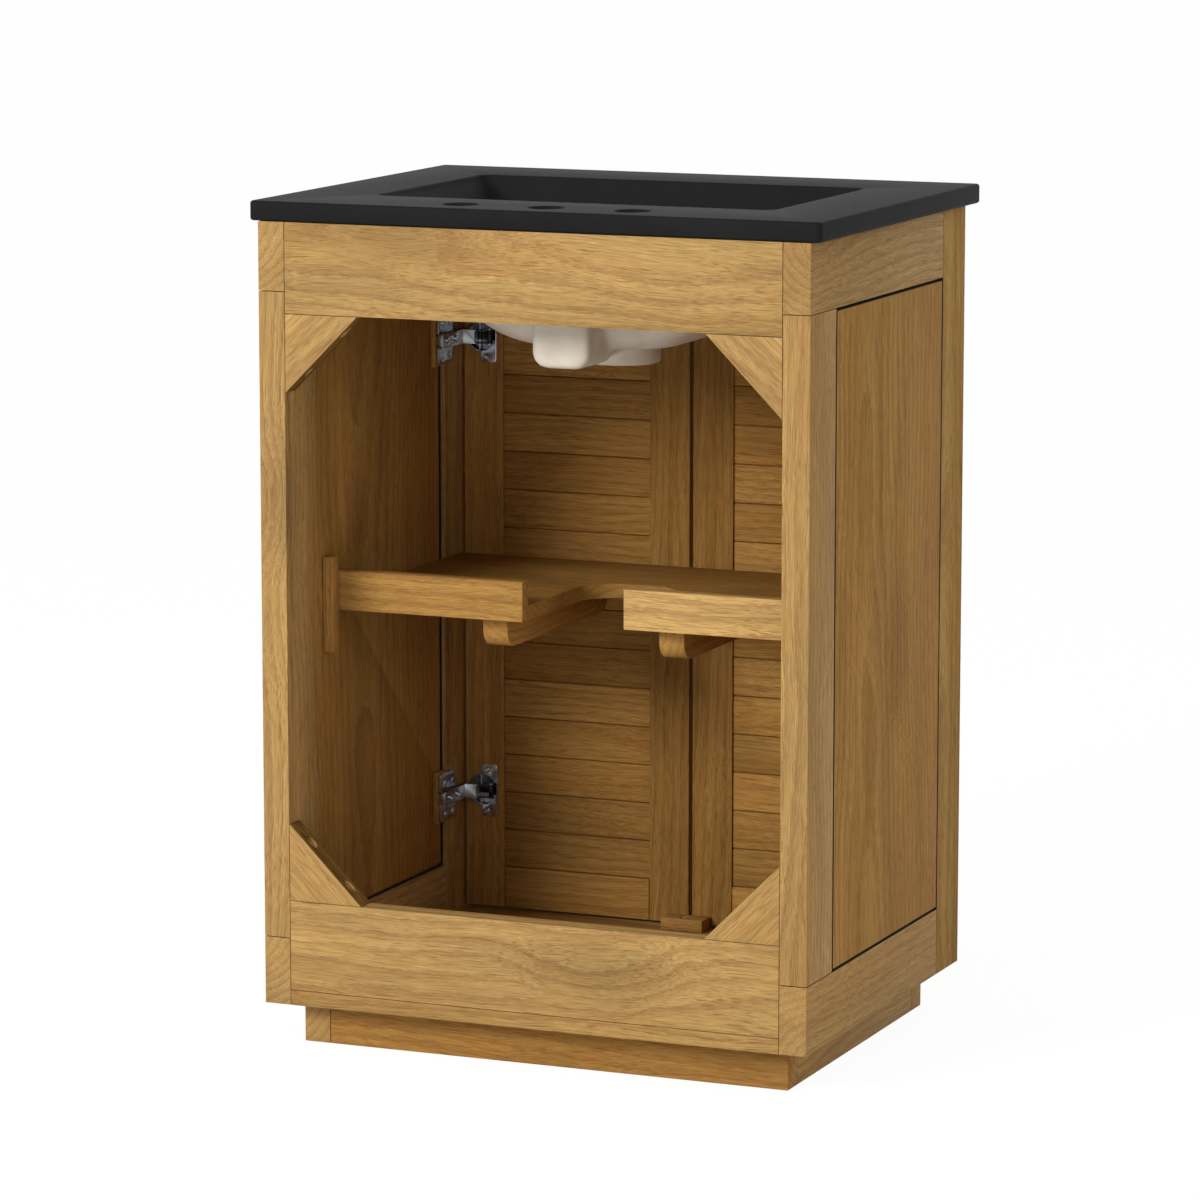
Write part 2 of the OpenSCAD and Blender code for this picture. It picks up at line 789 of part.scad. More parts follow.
module shelf_pin(y, face) {
  x0 = side_in - shelf_pin_lug;
  translate([x0, y, shelf_z - shelf_pin_d / 2]) rod_x(shelf_pin_d - fit_slack, face + shelf_pin_in - x0);
  board(x0, face, y - shelf_pin_lug_l / 2, y + shelf_pin_lug_l / 2,
    shelf_z - shelf_pin_lug_h, shelf_z);
}

module shelf_pins() {
  color(metal) for (side = [-1, 1]) on_side(side) {
    shelf_pin(shelf_pin_front_y, side_in);
    shelf_pin(shelf_pin_rear_y, panel_in);
  }
}

// Stop block on the floor behind the meeting stiles
module door_stop_block() {
  color(wood) difference() {
    board(-block_w / 2, block_w / 2, block_y0, block_y0 + block_d, floor_z1, floor_z1 + block_h);
    translate([0, block_y0 + block_d / 2, floor_z1 - cut])
      cylinder(d = block_screw_d, h = block_h + 2 * cut);
    translate([0, block_y0 + block_d / 2, floor_z1 + block_h - block_sink_h])
      cylinder(d1 = block_screw_d, d2 = block_screw_head_d + 2, h = block_sink_h + 0.01);
  }
}

module door_stop_screw() {
  head_h = 2.4;
  color(metal) translate([0, block_y0 + block_d / 2, floor_z1 + block_h - 1]) {
    difference() {
      translate([0, 0, -head_h]) cylinder(d1 = block_screw_d, d2 = block_screw_head_d - 0.6, h = head_h);
      cross_recess(block_screw_head_d);
    }
    translate([0, 0, 1 - block_h - block_screw_in + bore_end])
      cylinder(d = block_screw_d - fit_slack, h = block_h + block_screw_in - 1 - head_h - 0.4);
  }
}

// Doors, each a frame of two stiles and two rails round a field of slats
module door_groove(x0, x1, z0, z1) {
  board(x0, x1, slat_y0, slat_y1, z0, z1);
}

module door_hinge_stile(side) {
  color(wood) difference() {
    on_side(side) difference() {
      board(door_x1 - door_stile_w, door_x1, door_y0, door_y1, door_z0, door_z1);
      door_groove(door_x1 - door_stile_w - cut, door_x1 - door_stile_w + door_groove_d,
        door_z0 - cut, door_z1 + cut);
    }
    at_hinges(side) {
      translate([cup_u, door_back - cup_h, 0]) rod_y(cup_d, cup_h + cut);
      cup_screw_places() translate([0, -cup_screw_len, 0]) rod_y(cup_screw_d, cup_screw_len + cut);
    }
  }
}

module door_meeting_stile(side) {
  color(wood) on_side(side) difference() {
    board(door_x0, door_x0 + door_stile_w, door_y0, door_y1, door_z0, door_z1);
    door_groove(door_x0 + door_stile_w - door_groove_d, door_x0 + door_stile_w + cut,
      door_z0 - cut, door_z1 + cut);
    translate([knob_x, door_y0 - cut, door_mid_z]) rod_y(knob_screw_d, door_t + 2 * cut);
  }
}

module door_rail(side, z0, z1, groove_z) {
  mid_y = (slat_y0 + slat_y1) / 2;
  color(wood) on_side(side) difference() {
    union() {
      board(door_x0 + door_stile_w, door_x1 - door_stile_w, door_y0, door_y1, z0, z1);
      board(door_x0 + door_stile_w - slat_end, door_x1 - door_stile_w + slat_end,
        slat_y0, slat_y1, z0, z1);
    }
    board(door_x0, door_x1, mid_y - slat_tongue / 2 - 0.1, mid_y + slat_tongue / 2 + 0.1,
      groove_z, groove_z + slat_tongue + 0.6);
  }
}

// Outline of one slat, with a tongue on its top edge and a groove below
function slat_outline(h, has_tongue) = let (
  c = slat_chamfer, t = slat_t, k = slat_tongue / 2, g = slat_tongue / 2 + 0.1,
  top = has_tongue
    ? [[t / 2 + k, h], [t / 2 + k, h + slat_tongue], [t / 2 - k, h + slat_tongue], [t / 2 - k, h]]
    : []
) concat(
  [[0, c], [c, 0], [t / 2 - g, 0], [t / 2 - g, slat_tongue], [t / 2 + g, slat_tongue],
    [t / 2 + g, 0], [t - c, 0], [t, c], [t, h - c], [t - c, h]],
  top,
  [[c, h], [0, h - c]]
);

module door_slats(side) {
  x0 = door_x0 + door_stile_w - slat_end;
  len = door_x1 - door_x0 - 2 * door_stile_w + 2 * slat_end;
  color(wood) on_side(side)
    for (i = [0:slat_count - 1])
      translate([x0, slat_y0, door_z0 + door_rail_h + i * slat_pitch + slat_seam / 2])
        rotate([90, 0, 90]) linear_extrude(len)
          polygon(slat_outline(slat_pitch - slat_seam, true));
}

module door_knob(side) {
  r = knob_d / 2;
  n = knob_neck_d / 2;
  color(knob_finish) on_side(side) {
    translate([knob_x, door_y0, door_mid_z]) rotate([90, 0, 0]) difference() {
      rotate_extrude() {
        square([n, knob_out - 2]);
        square([n + 2, 2.5]);
        translate([0, knob_out - 10]) square([r, 7]);
        translate([0, knob_out - 10]) square([r - 3, 10]);
        translate([r - 3, knob_out - 3]) circle(3);
      }
      translate([0, 0, -cut]) cylinder(d = knob_screw_d, h = knob_screw_in + cut + 0.5);
    }
    translate([knob_x, door_y1 + knob_screw_head, door_mid_z]) rotate([90, 0, 0]) {
      cylinder(d = 2 * knob_screw_d, h = knob_screw_head);
      cylinder(d = knob_screw_d - 0.04, h = knob_screw_head + door_t + knob_screw_in);
    }
  }
}

// Concealed hinges. Each has a plate on the side frame, a cranked arm, a
// bent lever and a cup in the door
module plate_screw_places() {
  for (v = plate_screw_vs, s = [-1, 1]) translate([0, v, s * plate_pitch / 2]) children();
}

module plate_screw_bores(d) {
  plate_screw_places() translate([-plate_screw_in, 0, 0]) rod_x(d, plate_screw_in + cut);
}

module hinge_packing_blocks() {
  v0 = front_stile_w;
  color(wood) for (side = [-1, 1]) at_hinges(side) difference() {
    board(-panel_inset, 0, v0, packing_v1, -packing_half, packing_half);
    plate_screw_bores(plate_screw_d);
  }
}

module hinge_plates() {
  wing = plate_half - plate_core_half;
  color(metal) for (side = [-1, 1]) at_hinges(side) difference() {
    union() {
      for (s = [-1, 1])
        translate([0, (plate_v0 + plate_v1) / 2, s * (plate_core_half + wing / 2)])
          rotate([0, 90, 0]) linear_extrude(plate_t)
            rounded_rect(wing, plate_v1 - plate_v0, plate_r);
      board(0, plate_core_h, plate_core_v0, plate_v1, -plate_core_half, plate_core_half);
    }
    plate_screw_places() {
      translate([-cut, 0, 0]) rod_x(plate_screw_d, plate_t + 2 * cut);
      translate([plate_t - plate_sink_h, 0, 0]) rotate([0, 90, 0])
        cylinder(d1 = plate_screw_d, d2 = plate_screw_head_d + 0.5, h = plate_sink_h + 0.01);
    }
    for (v = arm_screw_vs)
      translate([arm_h - arm_screw_in, v, 0]) rod_x(arm_screw_d, arm_screw_in + 2);
  }
}

module hinge_plate_screws() {
  head_h = plate_sink_h - 0.5;
  color(metal) for (side = [-1, 1]) at_hinges(side) plate_screw_places() {
    translate([-plate_screw_in + bore_end, 0, 0])
      rod_x(plate_screw_d - fit_slack, plate_screw_in + plate_t - plate_sink_h);
    translate([plate_t - plate_sink_h + 0.1, 0, 0]) rotate([0, 90, 0]) difference() {
      cylinder(d1 = plate_screw_d - 0.2, d2 = plate_screw_head_d - 0.4, h = head_h);
      translate([0, 0, head_h]) cross_recess(plate_screw_head_d);
    }
  }
}

// Arm: a web over the plate, a crank at its end and an ear at each side
module hinge_arms() {
  top = arm_h + arm_rise;
  foot = plate_t + ear_foot;
  color(metal) for (side = [-1, 1]) at_hinges(side) difference() {
    union() {
      board(top - sheet, top, crank_v, arm_v1, -arm_half, arm_half);
      board(top - sheet, crank_u, crank_v, crank_v + sheet, -arm_half, arm_half);
      for (s = [-1, 1]) translate([0, 0, s > 0 ? ear_in : -arm_half]) {
        board(foot, top, crank_v, arm_v1, 0, sheet);
        linear_extrude(sheet) {
          polygon([[foot, crank_v], [arm_h, arm_pin_v + 1], [arm_pin_u - ear_neck, arm_pin_v - ear_dip],
            [arm_pin_u, arm_pin_v - ear_r], [arm_pin_u + ear_r, arm_pin_v],
            [crank_u + 1, crank_v + sheet], [foot, crank_v + sheet]]);
          translate([arm_pin_u, arm_pin_v]) circle(ear_r);
        }
      }
    }
    translate([arm_pin_u, arm_pin_v, -arm_half - cut])
      cylinder(d = hinge_pin_d, h = 2 * (arm_half + cut));
    for (v = arm_screw_vs)
      translate([arm_h - 2, v, 0]) rod_x(arm_screw_d, 4);
  }
}

module hinge_arm_screws() {
  top = arm_h + arm_rise;
  color(metal) for (side = [-1, 1]) at_hinges(side) for (v = arm_screw_vs) {
    translate([arm_h - arm_screw_in + bore_end, v, 0]) rod_x(arm_screw_d - fit_slack, arm_screw_in + 0.5);
    difference() {
      translate([top, v, 0]) rod_x(arm_screw_head_d, arm_screw_head_h);
      translate([top + arm_screw_head_h, v, 0]) rotate([0, 90, 0]) cross_recess(arm_screw_head_d);
    }
  }
}

module hinge_arm_pins() {
  color(metal) for (side = [-1, 1]) at_hinges(side) translate([arm_pin_u, arm_pin_v, 0]) {
    translate([0, 0, -arm_half]) cylinder(d = hinge_pin_d - 0.02, h = 2 * arm_half);
    for (s = [-1, 1]) translate([0, 0, s > 0 ? arm_half : -arm_half - arm_pin_head_h])
      cylinder(d = arm_pin_head_d, h = arm_pin_head_h);
  }
}

module hinge_levers(side) {
  p = [arm_pin_u, arm_pin_v];
  q = [cup_pin_u, cup_pin_v];
  k = [lever_bend_u, lever_bend_v];
  bore = hinge_pin_d + 2 * run;
  color(metal) at_hinges(side) difference() {
    union() {
      translate([0, 0, -lever_half]) linear_extrude(2 * lever_half) {
        strip(p, k, lever_t);
        strip(q, k, lever_t);
        translate(k) circle(d = lever_t + 0.5);
        translate(q) circle(barrel_r);
      }
      translate([p[0], p[1], -ear_in + lever_slack])
        cylinder(r = barrel_r, h = 2 * (ear_in - lever_slack));
    }
    translate([p[0], p[1], -arm_half]) cylinder(d = bore, h = 2 * arm_half);
    translate([q[0], q[1], -lever_half - cut]) cylinder(d = bore, h = 2 * (lever_half + cut));
  }
}

module cup_screw_places() {
  for (s = [-1, 1]) translate([cup_screw_u, door_back, s * cup_screw_pitch / 2]) children();
}

module hinge_cups(side) {
  inner_r = cup_d / 2 - cup_wall - 0.05;
  notch_half = lever_half + 2;
  bottom = door_back - cup_h + 0.05;
  color(metal) at_hinges(side) difference() {
    union() {
      translate([cup_u, bottom, 0]) rod_y(cup_d - 2 * cup_fit, cup_h);
      translate([(flange_u0 + flange_u1) / 2, door_back, 0]) rotate([-90, 0, 0])
        linear_extrude(sheet) rounded_rect(flange_u1 - flange_u0, flange_len, flange_r);
    }
    translate([cup_u, bottom + cup_floor, 0]) rod_y(2 * inner_r, cup_h + sheet);
    translate([cup_pin_u, cup_pin_v, -cup_pin_half - 0.05])
      cylinder(d = hinge_pin_d, h = 2 * cup_pin_half + 0.1);
    board(cup_u - cup_d, cup_u - inner_r + 2, door_back - 5, door_back + cut, -notch_half, notch_half);
    cup_screw_places() {
      translate([0, -cut, 0]) rod_y(cup_screw_d, sheet + 2 * cut);
    }
  }
}

module hinge_cup_pins(side) {
  color(metal) at_hinges(side) translate([cup_pin_u, cup_pin_v, -cup_pin_half])
    cylinder(d = hinge_pin_d - 0.02, h = 2 * cup_pin_half);
}

module hinge_cup_screws(side) {
  color(metal) at_hinges(side) cup_screw_places() {
    translate([0, -cup_screw_len + bore_end, 0]) rod_y(cup_screw_d - fit_slack, cup_screw_len + sheet);
    translate([0, sheet, 0]) rotate([-90, 0, 0]) difference() {
      cylinder(d1 = cup_screw_head_d, d2 = cup_screw_head_d - 2.5, h = cup_screw_head_h);
      translate([0, 0, cup_screw_head_h]) cross_recess(cup_screw_head_d - 1);
    }
  }
}

ceramic_sink_top();
front_stile(1);  // right_front_stile
rear_stile(1);  // right_rear_stile
side_rail(1, rail_z1, body_z1, rail_z1 - cut);  // right_top_rail
side_rail(1, body_z0, rail_z0, rail_z0 - groove_d);  // right_bottom_rail
side_panel(1);  // right_side_panel
front_stile(-1);  // left_front_stile
rear_stile(-1);  // left_rear_stile
side_rail(-1, rail_z1, body_z1, rail_z1 - cut);  // left_top_rail
side_rail(-1, body_z0, rail_z0, rail_z0 - groove_d);  // left_bottom_rail
side_panel(-1);  // left_side_panel
rear_rail(top_rail_z, body_z1);  // rear_top_rail
rear_rail(floor_z1, bottom_rail_z);  // rear_bottom_rail
front_top_rail();
cabinet_floor();
frame_dowels();
corner_braces(true);  // upper_corner_braces
corner_braces(false);  // lower_corner_braces
brace_screws();
plinth_front();
plinth_rear();
plinth_right();
plinth_left();
shelf();
shelf_lip(1);  // shelf_lip_right
shelf_lip(-1);  // shelf_lip_left
shelf_runners();
shelf_stops();
shelf_pins();
door_stop_block();
door_stop_screw();
hinge_packing_blocks();
hinge_plates();
hinge_plate_screws();
hinge_arms();
hinge_arm_screws();
hinge_arm_pins();
hinge_levers(1);  // hinge_levers_right
hinge_levers(-1);  // hinge_levers_left
door_hinge_stile(1);  // door_right_hinge_stile
door_meeting_stile(1);  // door_right_meeting_stile
door_rail(1, door_z1 - door_rail_h, door_z1, door_z1 - door_rail_h - cut);  // door_right_top_rail
door_rail(1, door_z0, door_z0 + door_rail_h, door_z0 - 2 * slat_tongue);  // door_right_bottom_rail
door_slats(1);  // door_right_slats
door_knob(1);  // door_right_knob
hinge_cups(1);  // hinge_cups_right
hinge_cup_pins(1);  // hinge_cup_pins_right
hinge_cup_screws(1);  // hinge_cup_screws_right
door_hinge_stile(-1);  // door_left_hinge_stile
door_meeting_stile(-1);  // door_left_meeting_stile
door_rail(-1, door_z1 - door_rail_h, door_z1, door_z1 - door_rail_h - cut);  // door_left_top_rail
door_rail(-1, door_z0, door_z0 + door_rail_h, door_z0 - 2 * slat_tongue);  // door_left_bottom_rail
door_slats(-1);  // door_left_slats
door_knob(-1);  // door_left_knob
hinge_cups(-1);  // hinge_cups_left
hinge_cup_pins(-1);  // hinge_cup_pins_left
hinge_cup_screws(-1);  // hinge_cup_screws_left
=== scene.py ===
import json
from math import cos, radians, sin, tan

import bmesh
import bpy
from mathutils import Matrix, Vector


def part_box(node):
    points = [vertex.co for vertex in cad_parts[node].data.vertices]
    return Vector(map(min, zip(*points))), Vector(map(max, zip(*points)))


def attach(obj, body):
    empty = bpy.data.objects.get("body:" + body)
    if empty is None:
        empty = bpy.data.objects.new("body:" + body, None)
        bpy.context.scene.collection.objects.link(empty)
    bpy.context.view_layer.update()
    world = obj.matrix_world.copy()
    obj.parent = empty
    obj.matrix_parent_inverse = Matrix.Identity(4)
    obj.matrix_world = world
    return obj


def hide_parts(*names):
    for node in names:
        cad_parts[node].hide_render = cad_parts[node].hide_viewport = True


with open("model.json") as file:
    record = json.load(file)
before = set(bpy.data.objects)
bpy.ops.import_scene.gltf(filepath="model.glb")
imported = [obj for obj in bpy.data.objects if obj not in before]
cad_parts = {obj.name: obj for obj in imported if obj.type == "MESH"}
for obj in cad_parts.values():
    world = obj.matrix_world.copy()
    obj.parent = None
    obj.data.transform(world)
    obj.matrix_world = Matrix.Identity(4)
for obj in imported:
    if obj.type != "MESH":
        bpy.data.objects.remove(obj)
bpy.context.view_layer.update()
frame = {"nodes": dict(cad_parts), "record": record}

# The camera stands behind the unit, to the left of its back, at chest height
# and well away, so that the upright edges stay nearly parallel.
camera_place = Vector((-2.1208, 5.0814, 1.3489))
camera_turn = radians(22.876)
camera_dip = radians(9.333)
focal_px = 5429.2
image_px = 1200.0

camera_data = bpy.data.cameras.new("camera")
camera_data.sensor_width = 36.0
camera_data.lens = focal_px / image_px * camera_data.sensor_width
camera_data.clip_end = 400.0
camera = bpy.data.objects.new("camera", camera_data)
bpy.context.scene.collection.objects.link(camera)
forward = Vector((0.0, -1.0, 0.0))
aim = Matrix.Rotation(camera_turn, 3, "Z") @ Matrix.Rotation(-camera_dip, 3, "X") @ forward
aim.z = -tan(camera_dip) * aim.xy.length
camera.location = camera_place
camera.rotation_euler = aim.to_track_quat("-Z", "Y").to_euler()
bpy.context.scene.camera = camera

# Side frames: stiles and rails of solid acacia-like hardwood, planed, sanded
# and oiled to a satin sheen. Every board has its own grain, and its long edges
# are eased by hand, which leaves a fine dark line at each joint.
board_ease = 0.0004
joint_gap = 0.0004
times = {"operation": "MULTIPLY"}
plus = {"operation": "ADD"}
minus = {"operation": "SUBTRACT"}


def srgb(code):
    """The linear colour of an sRGB hex value."""
    parts = [int(code[i:i + 2], 16) / 255 for i in (1, 3, 5)]
    return [p / 12.92 if p <= 0.04045 else ((p + 0.055) / 1.055) ** 2.4 for p in parts] + [1.0]


def add(tree, kind, settings=None, inputs=None):
    """Adds a shader node with its settings, and sets or links its inputs. A node given to
    an input is linked by its first output."""
    made = tree.nodes.new("ShaderNode" + kind)
    for name, value in (settings or {}).items():
        setattr(made, name, value)
    for name, value in (inputs or {}).items():
        if isinstance(value, bpy.types.Node):
            value = value.outputs[0]
        if isinstance(value, bpy.types.NodeSocket):
            tree.links.new(value, made.inputs[name])
        else:
            made.inputs[name].default_value = value
    return made


def new_finish(name):
    """A new material, with its node tree and its shader."""
    material = bpy.data.materials.new(name)
    material.use_nodes = True
    return material, material.node_tree, material.node_tree.nodes["Principled BSDF"]


def hardwood(name, along, heart, tone=1.0, slats=None, whorl=None, slant=0.0, painted_warm_shade=False,
             sheen=0.1):
    """Sawn hardwood: faint growth rings round a heart line that lies off the board, fine
    fibres, broad smoky bands and open pores. along is the axis of the grain and heart the
    place of the rings' middle. slats is the start and pitch of a row of separate sticks,
    whorl the place and reach of a hidden knot that the grain bends round, and slant the
    slope in degrees of a grain that runs alike on both sides of the unit. painted_warm_shade
    gives a redder, darker brown, which is painted shade and warm bounced light for boards
    seen inside the unit or in its shade, and less sheen; sheen is that of the other boards."""
    material, tree, shader = new_finish(name)
    place = add(tree, "TexCoord").outputs["Object"]
    parts = add(tree, "SeparateXYZ", inputs={0: place}).outputs
    if slant:
        outward = add(tree, "Math", {"operation": "ABSOLUTE"}, {0: parts[0]})
        folded = add(tree, "CombineXYZ", inputs={0: outward, 1: parts[1], 2: parts[2]})
        sloped = add(tree, "VectorRotate", {"rotation_type": "Y_AXIS"},
                     {"Vector": folded, "Angle": radians(slant)})
        parts = add(tree, "SeparateXYZ", inputs={0: sloped}).outputs
    turned = {"X": (0, 1, 2), "Y": (1, 2, 0), "Z": (2, 0, 1)}[along]
    lined = add(tree, "CombineXYZ", inputs={i: parts[k] for i, k in enumerate(turned)})
    # The board is sawn about a degree askew to the trunk
    grain = add(tree, "Mapping", inputs={
        "Vector": lined, "Location": [-heart[k] for k in turned], "Rotation": (0.0, 0.012, 0.02)})
    stick_shade = None
    if slats:
        row_start, row_pitch = slats
        row = add(tree, "Math", minus, {0: parts[2], 1: row_start})
        row = add(tree, "Math", {"operation": "DIVIDE"}, {0: row, 1: row_pitch})
        row = add(tree, "Math", {"operation": "FLOOR"}, {0: row})
        seed = add(tree, "Math", plus, {0: row, 1: heart[0] * 1000})
        chance = add(tree, "TexWhiteNoise", {"noise_dimensions": "1D"}, {"W": seed}).outputs
        jump = add(tree, "VectorMath", times, {0: chance["Color"], 1: (3.0, 0.09, 0.09)})
        grain = add(tree, "VectorMath", plus, {0: grain, 1: jump})
        stick_shade = add(tree, "MapRange", inputs={"Value": chance["Value"], 3: 0.84, 4: 1.12})
    # The trunk bends slowly, so the rings wander by some 10 mm over about 400 mm of length
    slow = add(tree, "VectorMath", times, {0: grain, 1: (2.4, 7.0, 7.0)})
    bend = add(tree, "TexNoise", inputs={
        "Vector": slow, "Scale": 1.0, "Detail": 2.0, "Roughness": 0.5}).outputs["Color"]
    bend = add(tree, "VectorMath", minus, {0: bend, 1: (0.5, 0.5, 0.5)})
    bend = add(tree, "VectorMath", times, {0: bend, 1: (0.0, 0.045, 0.045)})
    bent = add(tree, "VectorMath", plus, {0: grain, 1: bend})
    knot = None
    if whorl:
        *middle, reach = whorl
        stretch = {"X": (0.45, 1.0, 1.0), "Y": (1.0, 0.45, 1.0), "Z": (1.0, 1.0, 0.45)}[along]
        away = add(tree, "Mapping", inputs={
            "Vector": place, "Location": [-middle[k] * stretch[k] for k in range(3)],
            "Scale": stretch})
        away = add(tree, "VectorMath", {"operation": "LENGTH"}, {0: away}).outputs["Value"]
        ragged = add(tree, "TexNoise", inputs={"Vector": place, "Scale": 24.0, "Detail": 1.0})
        ragged = add(tree, "MapRange", inputs={"Value": ragged, 1: 0.3, 2: 0.7, 3: 0.9, 4: 1.12})
        away = add(tree, "Math", times, {0: away, 1: ragged})
        knot = add(tree, "MapRange", {"interpolation_type": "SMOOTHERSTEP"},
                   {"Value": away, 1: reach, 2: 0.0, 3: 0.0, 4: 1.0})
        push = add(tree, "VectorMath", {"operation": "SCALE"},
                   {0: (0.0, 0.009, 0.012), "Scale": knot})
        bent = add(tree, "VectorMath", plus, {0: bent, 1: push})
    # Growth rings of about 9 mm, only a shade darker where the late wood ends
    rings = add(tree, "TexWave", {
        "wave_type": "RINGS", "rings_direction": "X", "wave_profile": "SAW"}, {
        "Vector": bent, "Scale": 36.0, "Distortion": 1.6, "Detail": 3.0, "Detail Scale": 3.0})
    ramp = add(tree, "ValToRGB", inputs={"Fac": rings.outputs["Fac"]})
    stops = ramp.color_ramp.elements
    stops[0].color = srgb("#bb985e")
    stops[1].color = srgb("#b38e57")
    early = stops.new(0.5)
    early.color = srgb("#b7935a")
    late = stops.new(0.86)
    late.color = srgb("#a98251")
    # Fibres: streaks about 1 mm wide and 80 mm long
    along_fibre = add(tree, "VectorMath", times, {0: bent, 1: (13.0, 900.0, 900.0)})
    fibre = add(tree, "TexNoise", inputs={
        "Vector": along_fibre, "Scale": 1.0, "Detail": 5.0, "Roughness": 0.65})
    streak = add(tree, "MapRange", inputs={"Value": fibre, 1: 0.3, 2: 0.7, 3: 0.78, 4: 1.16})
    # Flecks about 1 mm wide and 14 mm long, which make the cut face look grainy
    along_fleck = add(tree, "VectorMath", times, {0: bent, 1: (70.0, 1000.0, 1000.0)})
    fleck = add(tree, "TexNoise", inputs={"Vector": along_fleck, "Scale": 1.0, "Detail": 2.0})
    fleck = add(tree, "MapRange", inputs={"Value": fleck, 1: 0.3, 2: 0.7, 3: 0.88, 4: 1.12})
    streak = add(tree, "Math", times, {0: streak, 1: fleck})
    # Broad bands of smoky and of paler wood, some 30 mm across
    band_place = add(tree, "VectorMath", times, {0: bent, 1: (2.6, 34.0, 34.0)})
    band = add(tree, "TexNoise", inputs={
        "Vector": band_place, "Scale": 1.0, "Detail": 3.0, "Roughness": 0.55})
    band = add(tree, "MapRange", inputs={
        "Value": band, 1: 0.30, 2: 0.70, 3: 0.84 * tone, 4: 1.12 * tone})
    shade = add(tree, "Math", times, {0: streak, 1: band})
    if stick_shade:
        shade = add(tree, "Math", times, {0: shade, 1: stick_shade})
    if knot:
        darken = add(tree, "MapRange", inputs={"Value": knot, 3: 1.0, 4: 0.80})
        shade = add(tree, "Math", times, {0: shade, 1: darken})
    # Warmer patches, some 65 mm across
    warm = add(tree, "TexNoise", inputs={"Vector": band_place, "Scale": 0.45, "Detail": 1.0})
    warm = add(tree, "MapRange", inputs={"Value": warm, 1: 0.35, 2: 0.65, 3: 0.0, 4: 0.4})
    colour = add(tree, "Mix", {"data_type": "RGBA"},
                 {0: warm, 6: ramp, 7: srgb("#ae8147")}).outputs[2]
    colour = add(tree, "VectorMath", {"operation": "SCALE"}, {0: colour, "Scale": shade})
    # Open pores: brown dashes some 40 mm long, drawn 1 mm wide, which is wider than real
    # ones, so that they show
    along_pore = add(tree, "VectorMath", times, {0: bent, 1: (26.0, 1150.0, 1150.0)})
    pore = add(tree, "TexNoise", inputs={"Vector": along_pore, "Scale": 1.0, "Detail": 2.0})
    pore = add(tree, "MapRange", inputs={"Value": pore, 1: 0.53, 2: 0.70, 3: 0.0, 4: 0.6})
    colour = add(tree, "Mix", {"data_type": "RGBA"},
                 {0: pore, 6: colour, 7: srgb("#70481f")}).outputs[2]
    # Painted warm shade: a redder, darker brown for boards seen inside the unit or in its shade
    if painted_warm_shade:
        colour = add(tree, "VectorMath", times, {0: colour, 1: (1.03, 0.92, 0.72)}).outputs[0]
    tree.links.new(colour, shader.inputs["Base Color"])
    gloss = add(tree, "MapRange", inputs={"Value": fibre, 1: 0.3, 2: 0.7, 3: 0.68, 4: 0.56})
    tree.links.new(gloss.outputs[0], shader.inputs["Roughness"])
    shader.inputs["Specular IOR Level"].default_value = min(sheen, 0.04) if painted_warm_shade else sheen
    depth = add(tree, "Math", minus, {0: fibre, 1: pore})
    bump = add(tree, "Bump", inputs={"Height": depth, "Strength": 0.25, "Distance": 0.0004})
    tree.links.new(bump.outputs[0], shader.inputs["Normal"])
    return material


node_body = {}
for body_name, node_names in frame["record"]["behaviour"]["bodies"].items():
    for node_name in node_names:
        node_body[node_name] = body_name


def eased(node_name, ease, material, slot, steps=2, gap=0.0, others=(), choose=None):
    """A copy of a CAD board or pressing with its sharp edges eased. It stands for the node,
    and gap draws its faces back to leave an open joint line. choose gives a face's place in
    the row of finishes: the material, then the others."""
    weld = 2e-6
    most_shell = 1.75
    bm = bmesh.new()
    bm.from_mesh(frame["nodes"][node_name].data)
    bmesh.ops.remove_doubles(bm, verts=bm.verts, dist=weld)
    bmesh.ops.dissolve_limit(bm, angle_limit=radians(0.5), verts=bm.verts, edges=bm.edges)
    bm.normal_update()
    if gap:
        for vert in bm.verts:
            vert.co -= vert.normal * min(vert.calc_shell_factor(), most_shell) * gap
    sharp = [e for e in bm.edges
             if len(e.link_faces) == 2 and e.calc_face_angle() > radians(32)]
    bmesh.ops.bevel(bm, geom=sharp, offset=ease, offset_type="OFFSET", segments=steps,
                    profile=0.5, affect="EDGES", clamp_overlap=True, material=-1)
    mesh = bpy.data.meshes.new(node_name + "_piece")
    bm.to_mesh(mesh)
    bm.free()
    mesh.shade_smooth()
    mesh.set_sharp_from_angle(angle=radians(38))
    mesh.materials.clear()
    for finish in (material, *others):
        mesh.materials.append(finish)
    if choose:
        for face in mesh.polygons:
            face.material_index = int(choose(face))
    piece = bpy.data.objects.new(mesh.name, mesh)
    bpy.context.scene.collection.objects.link(piece)
    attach(piece, node_body[node_name])
    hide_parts(node_name)
    return piece


def board(node_name, along, off_x, off_y, off_z, tone=1.0, slot="frame_wood", whorl=None,
          slant=0.0, painted_warm_shade=False, sheen=0.1, **more):
    """A wooden board with its own wood: the heart line lies off its middle by the given
    metres, and a far heart along the grain gives each board another stretch of the trunk."""
    low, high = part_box(node_name)
    heart = [(low[i] + high[i]) / 2 + (off_x, off_y, off_z)[i] for i in range(3)]
    wood = hardwood("oiled_hardwood_" + node_name, along, heart, tone, whorl=whorl, slant=slant,
                    painted_warm_shade=painted_warm_shade, sheen=sheen)
    return eased(node_name, board_ease, wood, slot, gap=joint_gap, **more)


